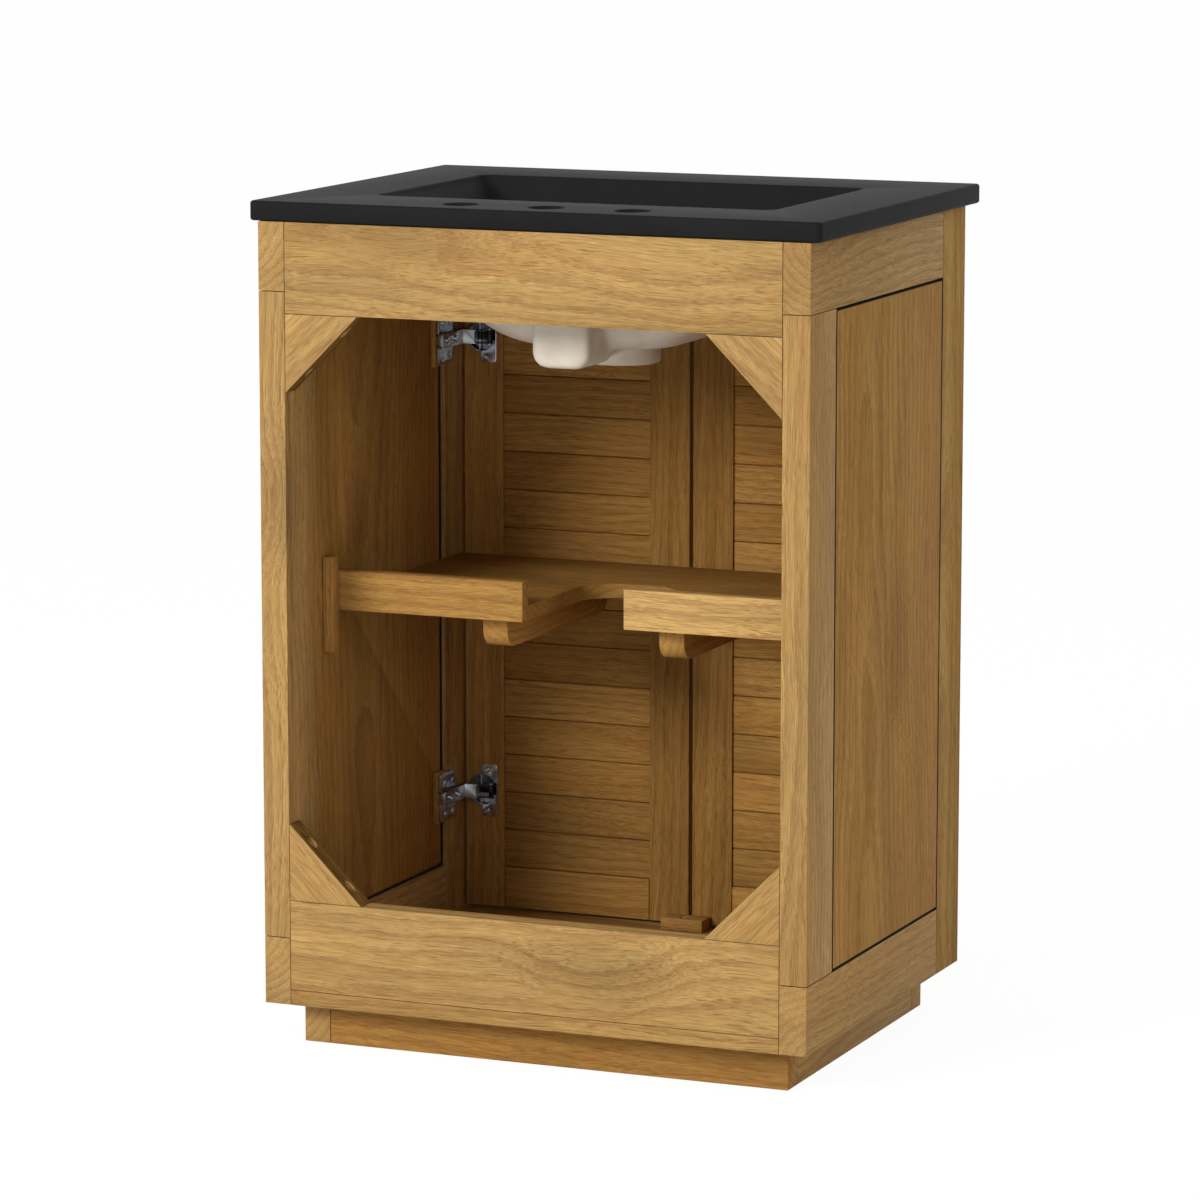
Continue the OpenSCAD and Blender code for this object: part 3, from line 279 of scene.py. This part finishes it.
# The open gap round each side panel is in shade, which is painted here: its walls
# and a narrow strip beside it get a near-black painted shade, which reads as a thin
# black line.
gap_shade_finish, tree, shader = new_finish("painted_gap_shade")
place = add(tree, "TexCoord").outputs["Object"]
patch = add(tree, "TexNoise", inputs={"Vector": place, "Scale": 60.0, "Detail": 2.0})
tint = add(tree, "ValToRGB", inputs={"Fac": patch})
tint.color_ramp.elements[0].color = srgb("#0f0a05")
tint.color_ramp.elements[1].color = srgb("#1a120a")
tree.links.new(tint.outputs["Color"], shader.inputs["Base Color"])
shader.inputs["Roughness"].default_value = 0.8

seam_w = 0.0008
box_slack = 0.001
panel_boxes = {side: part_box(side + "_side_panel") for side in ("right", "left")}


def in_gap(face, side):
    """Whether a face lies in the outer half of the gap round a side panel."""
    low, high = panel_boxes[side]
    inside = all(low[i] - box_slack < face.center[i] < high[i] + box_slack for i in range(3))
    outer = abs(face.center.x) > abs(low[0] + high[0]) / 2
    return inside and outer and abs(face.normal.x) < 0.5


def paint_inner_gap_shade(mesh, side):
    """Gives the near-black painted shade to the part of a frame board's edge in the inner half
    of the gap round the panel, and to a narrow strip of it beside the gap."""
    low, high = panel_boxes[side]
    panel_x = min(abs(low[0]), abs(high[0]))
    half_x = abs(low[0] + high[0]) / 2
    sign = 1 if side == "right" else -1
    bm = bmesh.new()
    bm.from_mesh(mesh)
    bmesh.ops.bisect_plane(bm, geom=bm.verts[:] + bm.edges[:] + bm.faces[:], dist=1e-6,
                           plane_co=(sign * (panel_x - seam_w), 0.0, 0.0),
                           plane_no=(sign, 0.0, 0.0))
    for face in bm.faces:
        middle = face.calc_center_median()
        beside = all(low[i] - box_slack < middle[i] < high[i] + box_slack for i in (1, 2))
        inner = panel_x - seam_w < abs(middle.x) < half_x
        if beside and inner and abs(face.normal.x) < 0.9:
            face.material_index = 1
    bm.to_mesh(mesh)
    bm.free()


side_frames = (
    ("right_front_stile", "Z", 0.07, 0.02, 0.3, 1.0, None),
    ("right_rear_stile", "Z", 0.05, 0.06, 0.9, 1.0, (0.280, 0.235, 0.56, 0.05)),
    ("right_top_rail", "Y", 0.06, 0.4, 0.05, 1.0, None),
    ("right_bottom_rail", "Y", 0.05, 1.3, 0.08, 1.0, None),
    ("right_side_panel", "Z", 0.10, 0.03, 1.4, 0.86, (0.295, 0.05, 0.25, 0.06)),
    ("left_front_stile", "Z", -0.06, 0.03, 2.1, 1.0, None),
    ("left_rear_stile", "Z", -0.02, 0.07, 2.9, 1.0, None),
    ("left_top_rail", "Y", -0.05, 2.2, 0.06, 0.9, None),
    ("left_bottom_rail", "Y", -0.06, 3.1, -0.07, 1.0, None),
    ("left_side_panel", "Z", -0.11, 0.05, 3.4, 0.88, (-0.295, -0.020, 0.41, 0.06)),
)
# Both side panels take the painted warm shade
for node_name, along, off_x, off_y, off_z, tone, whorl in side_frames:
    side = node_name.split("_")[0]
    piece = board(node_name, along, off_x, off_y, off_z, tone, whorl=whorl,
                  painted_warm_shade="panel" in node_name, sheen=0.0 if "front" in node_name else 0.1,
                  others=(gap_shade_finish,), choose=lambda face: in_gap(face, side))
    # Painted shade on the frame boards' edges in the inner half of the gap round each panel
    if "panel" not in node_name:
        paint_inner_gap_shade(piece.data, side)

# Rails across the back and the front, and the cabinet's floor. The rear rails
# are the widest boards in view and show their growth rings as long arches. The
# lower one stands on the floor, whose edge shows under it as a strip.
board("rear_top_rail", "X", 0.2, -0.10, 0.05, 0.96, whorl=(0.147, 0.235, 0.850, 0.08))
board("rear_bottom_rail", "X", 1.1, -0.10, -0.06, 1.06, whorl=(-0.076, 0.235, 0.105, 0.06))
board("front_top_rail", "X", 2.4, 0.05, 0.06)
board("cabinet_floor", "X", 3.0, 0.10, 0.12, 0.95, "panel_wood", sheen=0.0)

# Corner braces, sawn as triangles with two pockets for screws. Their grain runs
# along the long side, whose sawn face takes up more oil and goes darker; its redder
# tint is the painted warm shade of the boards inside the unit.
sawn_tone = 0.45


def sawn_side(face):
    """Whether a face of a brace is its long side."""
    return min(abs(face.normal.x), abs(face.normal.z)) > 0.6


for node_name, off_x, off_y, off_z, tone, slant in (
        ("upper_corner_braces", 4.1, -0.06, -0.05, 1.02, -45.0),
        ("lower_corner_braces", 4.9, -0.07, 0.06, 1.1, 45.0)):
    sawn_wood = hardwood("sawn_hardwood_" + node_name, "X", (off_x, off_y, off_z), sawn_tone,
                         slant=slant, painted_warm_shade=True, sheen=0.0)
    board(node_name, "X", off_x, off_y, off_z, tone, slant=slant, others=(sawn_wood,),
          choose=sawn_side)

# Plinth of four boards of the same oiled hardwood, butted at the corners and set
# back from the cabinet's faces.
# The rear board, in shade under the cabinet, takes the painted warm shade
board("plinth_rear", "X", 5.6, -0.05, 0.05, 0.86, painted_warm_shade=True)
board("plinth_front", "X", 6.4, 0.05, 0.05)
board("plinth_right", "Y", 0.05, 7.1, 0.04)
board("plinth_left", "Y", -0.05, 7.9, 0.04)

# Shelf with a cut-out for the pipes, two lips behind it, two runners under it
# and an upright stop on each side panel. The shelf lies on its runners and pins.
board("shelf", "X", 8.3, 0.06, 0.09, 0.78, "panel_wood", painted_warm_shade=True)
board("shelf_lip_right", "X", 9.2, -0.04, 0.05, 0.9, painted_warm_shade=True)
board("shelf_lip_left", "X", 9.9, -0.05, -0.04, 1.34)
board("shelf_runners", "Y", 0.04, 10.3, 0.06, painted_warm_shade=True)
board("shelf_stops", "Z", 0.05, 0.05, 11.2, 1.06, painted_warm_shade=True)

# Small hardwood blocks: the one that the doors close against, screwed down to the
# floor, and the packing behind each hinge plate.
board("door_stop_block", "X", 12.4, 0.05, 0.04, 0.84, painted_warm_shade=True)
board("hinge_packing_blocks", "Z", 0.05, 0.05, 13.1, painted_warm_shade=True)

# Doors: frames of two stiles and two rails round a field of tongued and
# grooved slats. Each slat is cut from another stick, so its shade differs.
slat_count = 16
slat_ease = 0.0003
for side, sign in (("right", 1), ("left", -1)):
    door = "door_" + side
    board(door + "_hinge_stile", "Z", 0.05 * sign, 0.05, 14.0 + sign, 1.05, painted_warm_shade=True)
    board(door + "_meeting_stile", "Z", -0.06 * sign, 0.04, 17.0 + sign, 0.78, painted_warm_shade=True)
    board(door + "_top_rail", "X", 20.0 + sign, 0.05, 0.04, painted_warm_shade=True)
    board(door + "_bottom_rail", "X", 23.0 + sign, 0.04, -0.05, painted_warm_shade=True)
    slats = door + "_slats"
    rail_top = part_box(door + "_bottom_rail")[1][2]
    rail_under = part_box(door + "_top_rail")[0][2]
    slat_wood = hardwood("oiled_hardwood_" + slats, "X", (26.0 + sign, -0.17, 0.3), 1.02,
                         slats=(rail_top, (rail_under - rail_top) / slat_count), painted_warm_shade=True)
    eased(slats, slat_ease, slat_wood, "frame_wood", steps=1)

# Knobs of turned metal, painted satin black, and the screws that hold them. The
# paint is even, with a fine speck that breaks up its shine.
knob_ease = 0.0004
knob_paint, tree, shader = new_finish("satin_black_paint_knob")
place = add(tree, "TexCoord").outputs["Object"]
speck = add(tree, "TexNoise", inputs={"Vector": place, "Scale": 900.0, "Detail": 2.0})
tone = add(tree, "MapRange", inputs={"Value": speck, 3: 0.016, 4: 0.026})
black = add(tree, "CombineColor", inputs={0: tone, 1: tone, 2: tone})
tree.links.new(black.outputs[0], shader.inputs["Base Color"])
satin = add(tree, "MapRange", inputs={"Value": speck, 3: 0.32, 4: 0.44})
tree.links.new(satin.outputs[0], shader.inputs["Roughness"])
for side in ("right", "left"):
    eased("door_%s_knob" % side, knob_ease, knob_paint, "knob_finish")

# Concealed hinges: pressed steel plates, arms and cups with a bright nickel
# plating, whose cool shade reads grey beside the wood. It is smooth, with faint
# drawing lines. The levers are near black, which is painted shade, and follow below.
press_ease = 0.00025
nickel, tree, shader = new_finish("nickel_plated_steel")
shader.inputs["Metallic"].default_value = 1.0
place = add(tree, "TexCoord").outputs["Object"]
cloud = add(tree, "TexNoise", inputs={"Vector": place, "Scale": 140.0, "Detail": 3.0})
plating = add(tree, "ValToRGB", inputs={"Fac": cloud})
plating.color_ramp.elements[0].position = 0.3
plating.color_ramp.elements[0].color = srgb("#adb2b8")
plating.color_ramp.elements[1].position = 0.7
plating.color_ramp.elements[1].color = srgb("#d3d9e0")
tree.links.new(plating.outputs["Color"], shader.inputs["Base Color"])
# Drawing lines 0.7 mm apart and 17 mm long, coarser than real ones, so that they show
drawn_place = add(tree, "VectorMath", times, {0: place, 1: (1500.0, 60.0, 1500.0)})
drawn = add(tree, "TexNoise", inputs={"Vector": drawn_place, "Scale": 1.0, "Detail": 2.0})
rough = add(tree, "MapRange", inputs={"Value": drawn, 3: 0.22, 4: 0.38})
tree.links.new(rough.outputs[0], shader.inputs["Roughness"])
for node_name in ("hinge_plates", "hinge_cups_right", "hinge_cups_left"):
    eased(node_name, press_ease, nickel, "nickelled_steel")

# The crank of each arm carries a satin stamped face, which catches the light where
# the mirror plating round it goes dark; its paler tint is a painted highlight.
crank_highlight, tree, shader = new_finish("satin_nickel_painted_highlight")
shader.inputs["Metallic"].default_value = 1.0
shader.inputs["Roughness"].default_value = 0.42
place = add(tree, "TexCoord").outputs["Object"]
frost = add(tree, "TexNoise", inputs={"Vector": place, "Scale": 1800.0, "Detail": 1.0})
tint = add(tree, "ValToRGB", inputs={"Fac": frost})
tint.color_ramp.elements[0].color = srgb("#c4c9cf")
tint.color_ramp.elements[1].color = srgb("#dde1e6")
tree.links.new(tint.outputs["Color"], shader.inputs["Base Color"])

# The levers and the fork that holds them are near black, which is painted shade,
# so they go dark between the crank and the cup.
near_black_shade, tree, shader = new_finish("near_black_painted_shade_steel")
shader.inputs["Metallic"].default_value = 1.0
place = add(tree, "TexCoord").outputs["Object"]
shade_mottle = add(tree, "TexNoise", inputs={"Vector": place, "Scale": 700.0, "Detail": 2.0})
tint = add(tree, "ValToRGB", inputs={"Fac": shade_mottle})
tint.color_ramp.elements[0].color = srgb("#2b2a29")
tint.color_ramp.elements[1].color = srgb("#413f3d")
tree.links.new(tint.outputs["Color"], shader.inputs["Base Color"])
rough = add(tree, "MapRange", inputs={"Value": shade_mottle, 3: 0.25, 4: 0.4})
tree.links.new(rough.outputs[0], shader.inputs["Roughness"])
arm_low, arm_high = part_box("hinge_arms")
arm_middle = (arm_low[1] + arm_high[1]) / 2
fork_x = 0.2436


def arm_finish(face):
    """Plating on the arm, a crank face whose paler tint is a painted highlight, and near-black
    painted shade beyond the crank.
    """
    if abs(face.center.x) < fork_x:
        return 2
    return 1 if face.normal.y > 0.9 and face.center.y < arm_middle else 0


eased("hinge_arms", press_ease, nickel, "nickelled_steel", others=(crank_highlight, near_black_shade),
      choose=arm_finish)
# The levers are near black all over: painted shade
for node_name in ("hinge_levers_right", "hinge_levers_left"):
    eased(node_name, press_ease, near_black_shade, "nickelled_steel")

# Screws and pins of plated steel, turned and rolled, and the dowels of plain
# beech that hold the frames together from inside.
screw_ease = 0.0001
for node_name in ("hinge_plate_screws", "hinge_arm_screws", "hinge_arm_pins",
                  "hinge_cup_pins_right", "hinge_cup_pins_left", "hinge_cup_screws_right",
                  "hinge_cup_screws_left", "brace_screws", "shelf_pins", "door_stop_screw"):
    eased(node_name, screw_ease, nickel, "nickelled_steel", steps=1)
frame["nodes"]["frame_dowels"].data.materials.clear()
frame["nodes"]["frame_dowels"].data.materials.append(
    hardwood("beech_dowels", "X", (30.0, 0.0, 0.3), 1.05))

# Ceramic top: slip-cast in one piece, the slab and the bowl in a satin black
# glaze, the underside left as bare pale clay. Casting rounds every edge.
slab_low, slab_high = (Vector(c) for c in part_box("ceramic_sink_top"))
deck_z = slab_high.z
slab_t = 0.020
edge_r = 0.003
corner_r = 0.006
rim_y = -0.003
rim_w, rim_d = 0.428, 0.266
rim_corner = 0.012
basin_h = 0.142
bowl_wall = 0.010
lip_drop = 0.006
lip_out = 0.002
slope_w, slope_d = 0.87, 0.16
flat_w, flat_d = 0.084, 0.092
dish_h = 0.030
wall_corner = 0.010
corner_growth = 0.012
corner_steps = 8


def bowl_section(depth, wall, power):
    """Size, corner radius and height of the bowl at a depth below the deck: walls that
    slope in, then a dished floor. wall is 0 for the hollow."""
    straight = basin_h - dish_h
    fall = min(depth, straight) - lip_drop
    width = rim_w - 2 * lip_out - 2 * slope_w * fall + 2 * wall
    length = rim_d - 2 * lip_out - 2 * slope_d * fall + 2 * wall
    corner = wall_corner + corner_growth * fall / (straight - lip_drop) + wall
    down = max(depth - straight, 0.0) / (dish_h + wall)
    reach = (1 - min(down, 1.0) ** power) ** (1 / power)
    least_w, least_d = flat_w + 2 * wall, flat_d + 2 * wall
    width = least_w + (width - 2 * slope_w * (dish_h + wall) * down - least_w) * reach
    length = least_d + (length - 2 * slope_d * (dish_h + wall) * down - least_d) * reach
    return width, length, corner + corner_growth * down, deck_z - depth


def ring(bm, size_x, size_y, corner, y, z):
    """The edges of a rounded rectangle that lies level, centred on x = 0."""
    place = Matrix.Translation((0.0, y, z)) @ Matrix.Diagonal((size_x, size_y, 1.0, 1.0))
    grid = bmesh.ops.create_grid(bm, x_segments=1, y_segments=1, size=0.5, matrix=place)
    rounded = bmesh.ops.bevel(bm, geom=grid["verts"], offset=corner, offset_type="OFFSET",
                              segments=corner_steps, profile=0.5, affect="VERTICES",
                              material=-1)
    face = next((f for f in rounded["faces"] if len(f.verts) > 4), None)
    face = face or next(f for f in bm.faces
                        if abs(f.calc_center_median().z - z) < 1e-6 and len(f.verts) > 4)
    edges = list(face.edges)
    bmesh.ops.delete(bm, geom=[face], context="FACES_ONLY")
    return edges


def bridged(bm, loops):
    """Joins a row of edge loops into a tube, and closes its ends."""
    for upper, lower in zip(loops, loops[1:]):
        bmesh.ops.bridge_loops(bm, edges=upper + lower)
    bmesh.ops.contextual_create(bm, geom=loops[0])
    bmesh.ops.contextual_create(bm, geom=loops[-1])


def loft(rings, y):
    """A closed solid through level rounded rectangles, from the top one down."""
    bm = bmesh.new()
    bridged(bm, [ring(bm, w, d, r, y, z) for w, d, r, z in rings])
    bmesh.ops.recalc_face_normals(bm, faces=bm.faces)
    return bm


def made_object(name, bm, material):
    """An object at the origin from a bmesh, which is freed."""
    mesh = bpy.data.meshes.new(name)
    bm.to_mesh(mesh)
    bm.free()
    mesh.materials.append(material)
    thing = bpy.data.objects.new(name, mesh)
    bpy.context.scene.collection.objects.link(thing)
    return thing


def apply_modifiers(thing):
    """Replaces the object's mesh by the one that its modifiers make."""
    bpy.context.view_layer.update()
    graph = bpy.context.evaluated_depsgraph_get()
    mesh = bpy.data.meshes.new_from_object(thing.evaluated_get(graph), depsgraph=graph)
    thing.modifiers.clear()
    old = thing.data
    thing.data = mesh
    bpy.data.meshes.remove(old)


glaze, tree, shader = new_finish("satin_black_glaze")
place = add(tree, "TexCoord").outputs["Object"]
fleck = add(tree, "TexNoise", inputs={"Vector": place, "Scale": 260.0, "Detail": 3.0})
pool = add(tree, "TexNoise", inputs={"Vector": place, "Scale": 9.0, "Detail": 2.0})
tint = add(tree, "ValToRGB", inputs={"Fac": pool})
tint.color_ramp.elements[0].position = 0.3
tint.color_ramp.elements[0].color = srgb("#19191a")
tint.color_ramp.elements[1].position = 0.7
tint.color_ramp.elements[1].color = srgb("#1f1f1f")
tree.links.new(tint.outputs["Color"], shader.inputs["Base Color"])
satin = add(tree, "MapRange", inputs={"Value": fleck, 3: 0.54, 4: 0.64})
tree.links.new(satin.outputs[0], shader.inputs["Roughness"])
shader.inputs["Specular IOR Level"].default_value = 0.06
peel = add(tree, "Bump", inputs={"Height": fleck, "Strength": 0.06, "Distance": 0.0005})
tree.links.new(peel.outputs[0], shader.inputs["Normal"])

clay, tree, shader = new_finish("bare_pale_clay")
place = add(tree, "TexCoord").outputs["Object"]
mottle = add(tree, "TexNoise", inputs={"Vector": place, "Scale": 35.0, "Detail": 4.0})
tint = add(tree, "ValToRGB", inputs={"Fac": mottle})
tint.color_ramp.elements[0].position = 0.3
tint.color_ramp.elements[0].color = srgb("#d1c4b0")
tint.color_ramp.elements[1].position = 0.7
tint.color_ramp.elements[1].color = srgb("#e1d7c8")
tree.links.new(tint.outputs["Color"], shader.inputs["Base Color"])
shader.inputs["Roughness"].default_value = 0.55
grit = add(tree, "TexNoise", inputs={"Vector": place, "Scale": 1400.0, "Detail": 2.0})
gritty = add(tree, "Bump", inputs={"Height": grit, "Strength": 0.12, "Distance": 0.0003})
tree.links.new(gritty.outputs[0], shader.inputs["Normal"])

# The underside: bowl, drain boss, overflow duct and the waist between them,
# fused and softened as a cast does it.
boss_r, boss_h, boss_down = 0.040, 0.034, 0.157
duct_round, duct_rear_round = 0.016, 0.007
duct_down = 0.012
duct = (0.031, 0.090, 0.160, 0.700, deck_z - duct_down)
waist = (0.020, rim_y, 0.140, 0.702, 0.724)
cast_grid = 0.0025
dish_steps = 12
dish_turns = [radians(90 * i / dish_steps) for i in range(dish_steps + 1)]
outer = [bowl_section(depth, bowl_wall, 3) for depth in (0.010, 0.020, 0.060)]
outer += [bowl_section(basin_h - dish_h + (dish_h + bowl_wall) * sin(turn), bowl_wall, 3)
          for turn in dish_turns]
under = loft(outer, rim_y)
bmesh.ops.create_cone(under, cap_ends=True, segments=48, radius1=boss_r, radius2=boss_r,
                      depth=boss_h, matrix=Matrix.Translation((0.0, rim_y, deck_z - boss_down)))
# Each block is given as half its width, then its reach in y and in z
for half_w, y0, y1, z0, z1 in (duct, waist):
    block_place = (Matrix.Translation((0.0, (y0 + y1) / 2, (z0 + z1) / 2))
                   @ Matrix.Diagonal((2 * half_w, y1 - y0, z1 - z0, 1.0)))
    block = bmesh.ops.create_cube(under, size=1.0, matrix=block_place)
    low_edges = {e for v in block["verts"] for e in v.link_edges
                 if abs(e.verts[0].co.y - e.verts[1].co.y) > 0.01
                 and max(v.co.z for v in e.verts) < z0 + 0.001}
    bmesh.ops.bevel(under, geom=list(low_edges), offset=duct_round, segments=6, profile=0.5,
                    affect="EDGES", material=-1)
    rear_edges = [e for e in under.edges
                  if all(abs(v.co.y - y1) < 1e-6 for v in e.verts) and e.calc_face_angle() > 1.0]
    bmesh.ops.bevel(under, geom=rear_edges, offset=duct_rear_round, segments=5, profile=0.5,
                    affect="EDGES", material=-1)
underside = made_object("bowl_underside", under, clay)
voxels = underside.modifiers.new("fuse", "REMESH")
voxels.mode = "VOXEL"
voxels.voxel_size = cast_grid
soften = underside.modifiers.new("soften", "SMOOTH")
soften.iterations = 8
soften.factor = 0.5
apply_modifiers(underside)

# The slab, cast in one piece with the bowl. Its upright corners are rounder than
# its upper and lower edges.
slab_bm = bmesh.new()
size = slab_high - slab_low
slab_place = (Matrix.Translation((0.0, 0.0, deck_z - slab_t / 2))
              @ Matrix.Diagonal((size.x, size.y, slab_t, 1.0)))
bmesh.ops.create_cube(slab_bm, size=1.0, matrix=slab_place)
uprights = [e for e in slab_bm.edges if abs(e.verts[0].co.z - e.verts[1].co.z) > edge_r]
bmesh.ops.bevel(slab_bm, geom=uprights, offset=corner_r, segments=6, profile=0.5,
                affect="EDGES", material=-1)
rims = [e for e in slab_bm.edges if e.calc_face_angle() > radians(60)]
bmesh.ops.bevel(slab_bm, geom=rims, offset=edge_r, segments=5, profile=0.5,
                affect="EDGES", material=-1)
top = made_object("ceramic_top", slab_bm, glaze)

# The basin's hollow, whose rim is rounded over the deck. Its cutter flares a
# little above the deck, so that it leaves no skin there.
rim_round = 0.003
flare = 0.001
flare_corner = 0.0155
cutter_over = 0.002
hollow_rings = [(rim_w + 2 * rim_round + flare, rim_d + 2 * rim_round + flare, flare_corner,
                 deck_z + cutter_over)]
for i in range(5):
    turn = radians(90 * i / 4)
    out = rim_round * (1 - sin(turn))
    hollow_rings.append((rim_w + 2 * out, rim_d + 2 * out, rim_corner + out,
                         deck_z - rim_round * (1 - cos(turn))))
hollow_rings += [bowl_section(depth, 0.0, 4) for depth in (0.0075, 0.040, 0.080)]
hollow_rings += [bowl_section(basin_h - dish_h + dish_h * sin(turn), 0.0, 4)
                 for turn in dish_turns]
hollow_piece = made_object("basin_hollow", loft(hollow_rings, rim_y), glaze)

# The drain with its seat, the faucet holes and the overflow hole behind the
# basin, each with a rounded mouth.
faucet_r, faucet_pitch, faucet_y = 0.0175, 0.092, 0.191
drain_r, seat_w, seat_h = 0.0225, 0.0085, 0.004
drain_low_z = 0.680
overflow_r, overflow_down = 0.011, 0.034
overflow_front_y, overflow_rear_y = 0.125, 0.146
mouth_w, mouth_h = 0.0015, 0.002
cutter_under = 0.004
holes = bmesh.new()


def bored(bm, radius, mouth, sink, z_top, z_low, place):
    """A cutter for a round hole whose mouth widens by mouth over a depth of sink."""
    steps = ((radius + mouth * 1.2, z_top + cutter_over), (radius + mouth, z_top),
             (radius + mouth * 0.5, z_top - sink * 0.4),
             (radius + mouth * 0.12, z_top - sink * 0.8), (radius, z_top - sink),
             (radius, z_low))
    loops = []
    for r, z in steps:
        made = bmesh.ops.create_circle(bm, cap_ends=False, radius=r, segments=48,
                                       matrix=place @ Matrix.Translation((0.0, 0.0, z)))
        loops.append(list({e for v in made["verts"] for e in v.link_edges}))
    bridged(bm, loops)


for faucet_x in (-faucet_pitch, 0.0, faucet_pitch):
    bored(holes, faucet_r, mouth_w, mouth_h, deck_z, deck_z - slab_t - cutter_under,
          Matrix.Translation((faucet_x, faucet_y, 0.0)))
bored(holes, drain_r, seat_w, seat_h, deck_z - basin_h, drain_low_z,
      Matrix.Translation((0.0, rim_y, 0.0)))
facing_front = Matrix.Rotation(radians(90), 4, "X")
bored(holes, overflow_r, mouth_w, mouth_h, -overflow_front_y, -overflow_rear_y,
      Matrix.Translation((0.0, 0.0, deck_z - overflow_down)) @ facing_front)
bmesh.ops.recalc_face_normals(holes, faces=holes.faces)
holes_piece = made_object("sink_holes", holes, glaze)

for cutter, action in ((underside, "UNION"), (hollow_piece, "DIFFERENCE"),
                       (holes_piece, "DIFFERENCE")):
    cut = top.modifiers.new(action, "BOOLEAN")
    cut.operation = action
    cut.solver = "EXACT"
    cut.material_mode = "TRANSFER"
    cut.object = cutter
apply_modifiers(top)
for cutter in (underside, hollow_piece, holes_piece):
    bpy.data.objects.remove(cutter)
top.data.shade_smooth()
top.data.set_sharp_from_angle(angle=radians(40))
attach(top, "cabinet")
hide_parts("ceramic_sink_top")

# A pale floor and soft studio light: a broad lamp to the left of the camera,
# a weak one to its right, and a plain white surround.
floor_bm = bmesh.new()
bmesh.ops.create_grid(floor_bm, x_segments=1, y_segments=1, size=60.0)


def seen(tree):
    """1 for a ray that shows the surround to the eye, straight or by way of metal or glass,
    and 0 for one that only brings light."""
    larger = {"operation": "MAXIMUM"}
    rays = add(tree, "LightPath").outputs
    shown = add(tree, "Math", larger, {0: rays["Is Camera Ray"], 1: rays["Is Glossy Ray"]})
    return add(tree, "Math", larger, {0: shown, 1: rays["Is Transmission Ray"]})


floor_paint, tree, shader = new_finish("pale_floor")
shader.inputs["Base Color"].default_value = srgb("#f4f4f4")
shader.inputs["Roughness"].default_value = 0.9
glow = add(tree, "Emission", inputs={"Color": (1.0, 1.0, 1.0, 1.0), "Strength": 1.05})
share = add(tree, "Math", times, {0: seen(tree), 1: 0.9})
mixed = add(tree, "MixShader", inputs={0: share, 1: shader, 2: glow})
tree.links.new(mixed.outputs[0], tree.nodes["Material Output"].inputs["Surface"])
floor = made_object("floor", floor_bm, floor_paint)

world = bpy.data.worlds.new("surround")
bpy.context.scene.world = world
world.use_nodes = True
tree = world.node_tree
ground = tree.nodes["Background"]
ground.inputs["Color"].default_value = (1.0, 1.0, 1.0, 1.0)
ground.inputs["Strength"].default_value = 0.46
white = add(tree, "Background", inputs={"Color": (1.0, 1.0, 1.0, 1.0), "Strength": 1.0})
surround = add(tree, "MixShader", inputs={0: seen(tree), 1: ground, 2: white})
tree.links.new(surround.outputs[0], tree.nodes["World Output"].inputs["Surface"])


def lamp(name, place, target, size_m, watts):
    """A round area lamp that points at a target."""
    light = bpy.data.lights.new(name, "AREA")
    light.shape = "DISK"
    light.size = size_m
    light.energy = watts
    thing = bpy.data.objects.new(name, light)
    thing.location = place
    thing.rotation_euler = (Vector(target) - Vector(place)).to_track_quat("-Z", "Y").to_euler()
    bpy.context.scene.collection.objects.link(thing)


unit_middle = (0.0, 0.0, 0.5)
lamp("key_lamp", (1.6, 4.2, 2.4), unit_middle, 1.6, 138.0)
lamp("fill_lamp", (-3.2, 2.0, 1.8), unit_middle, 2.0, 16.0)

scene = bpy.context.scene
scene.view_settings.view_transform = "Standard"
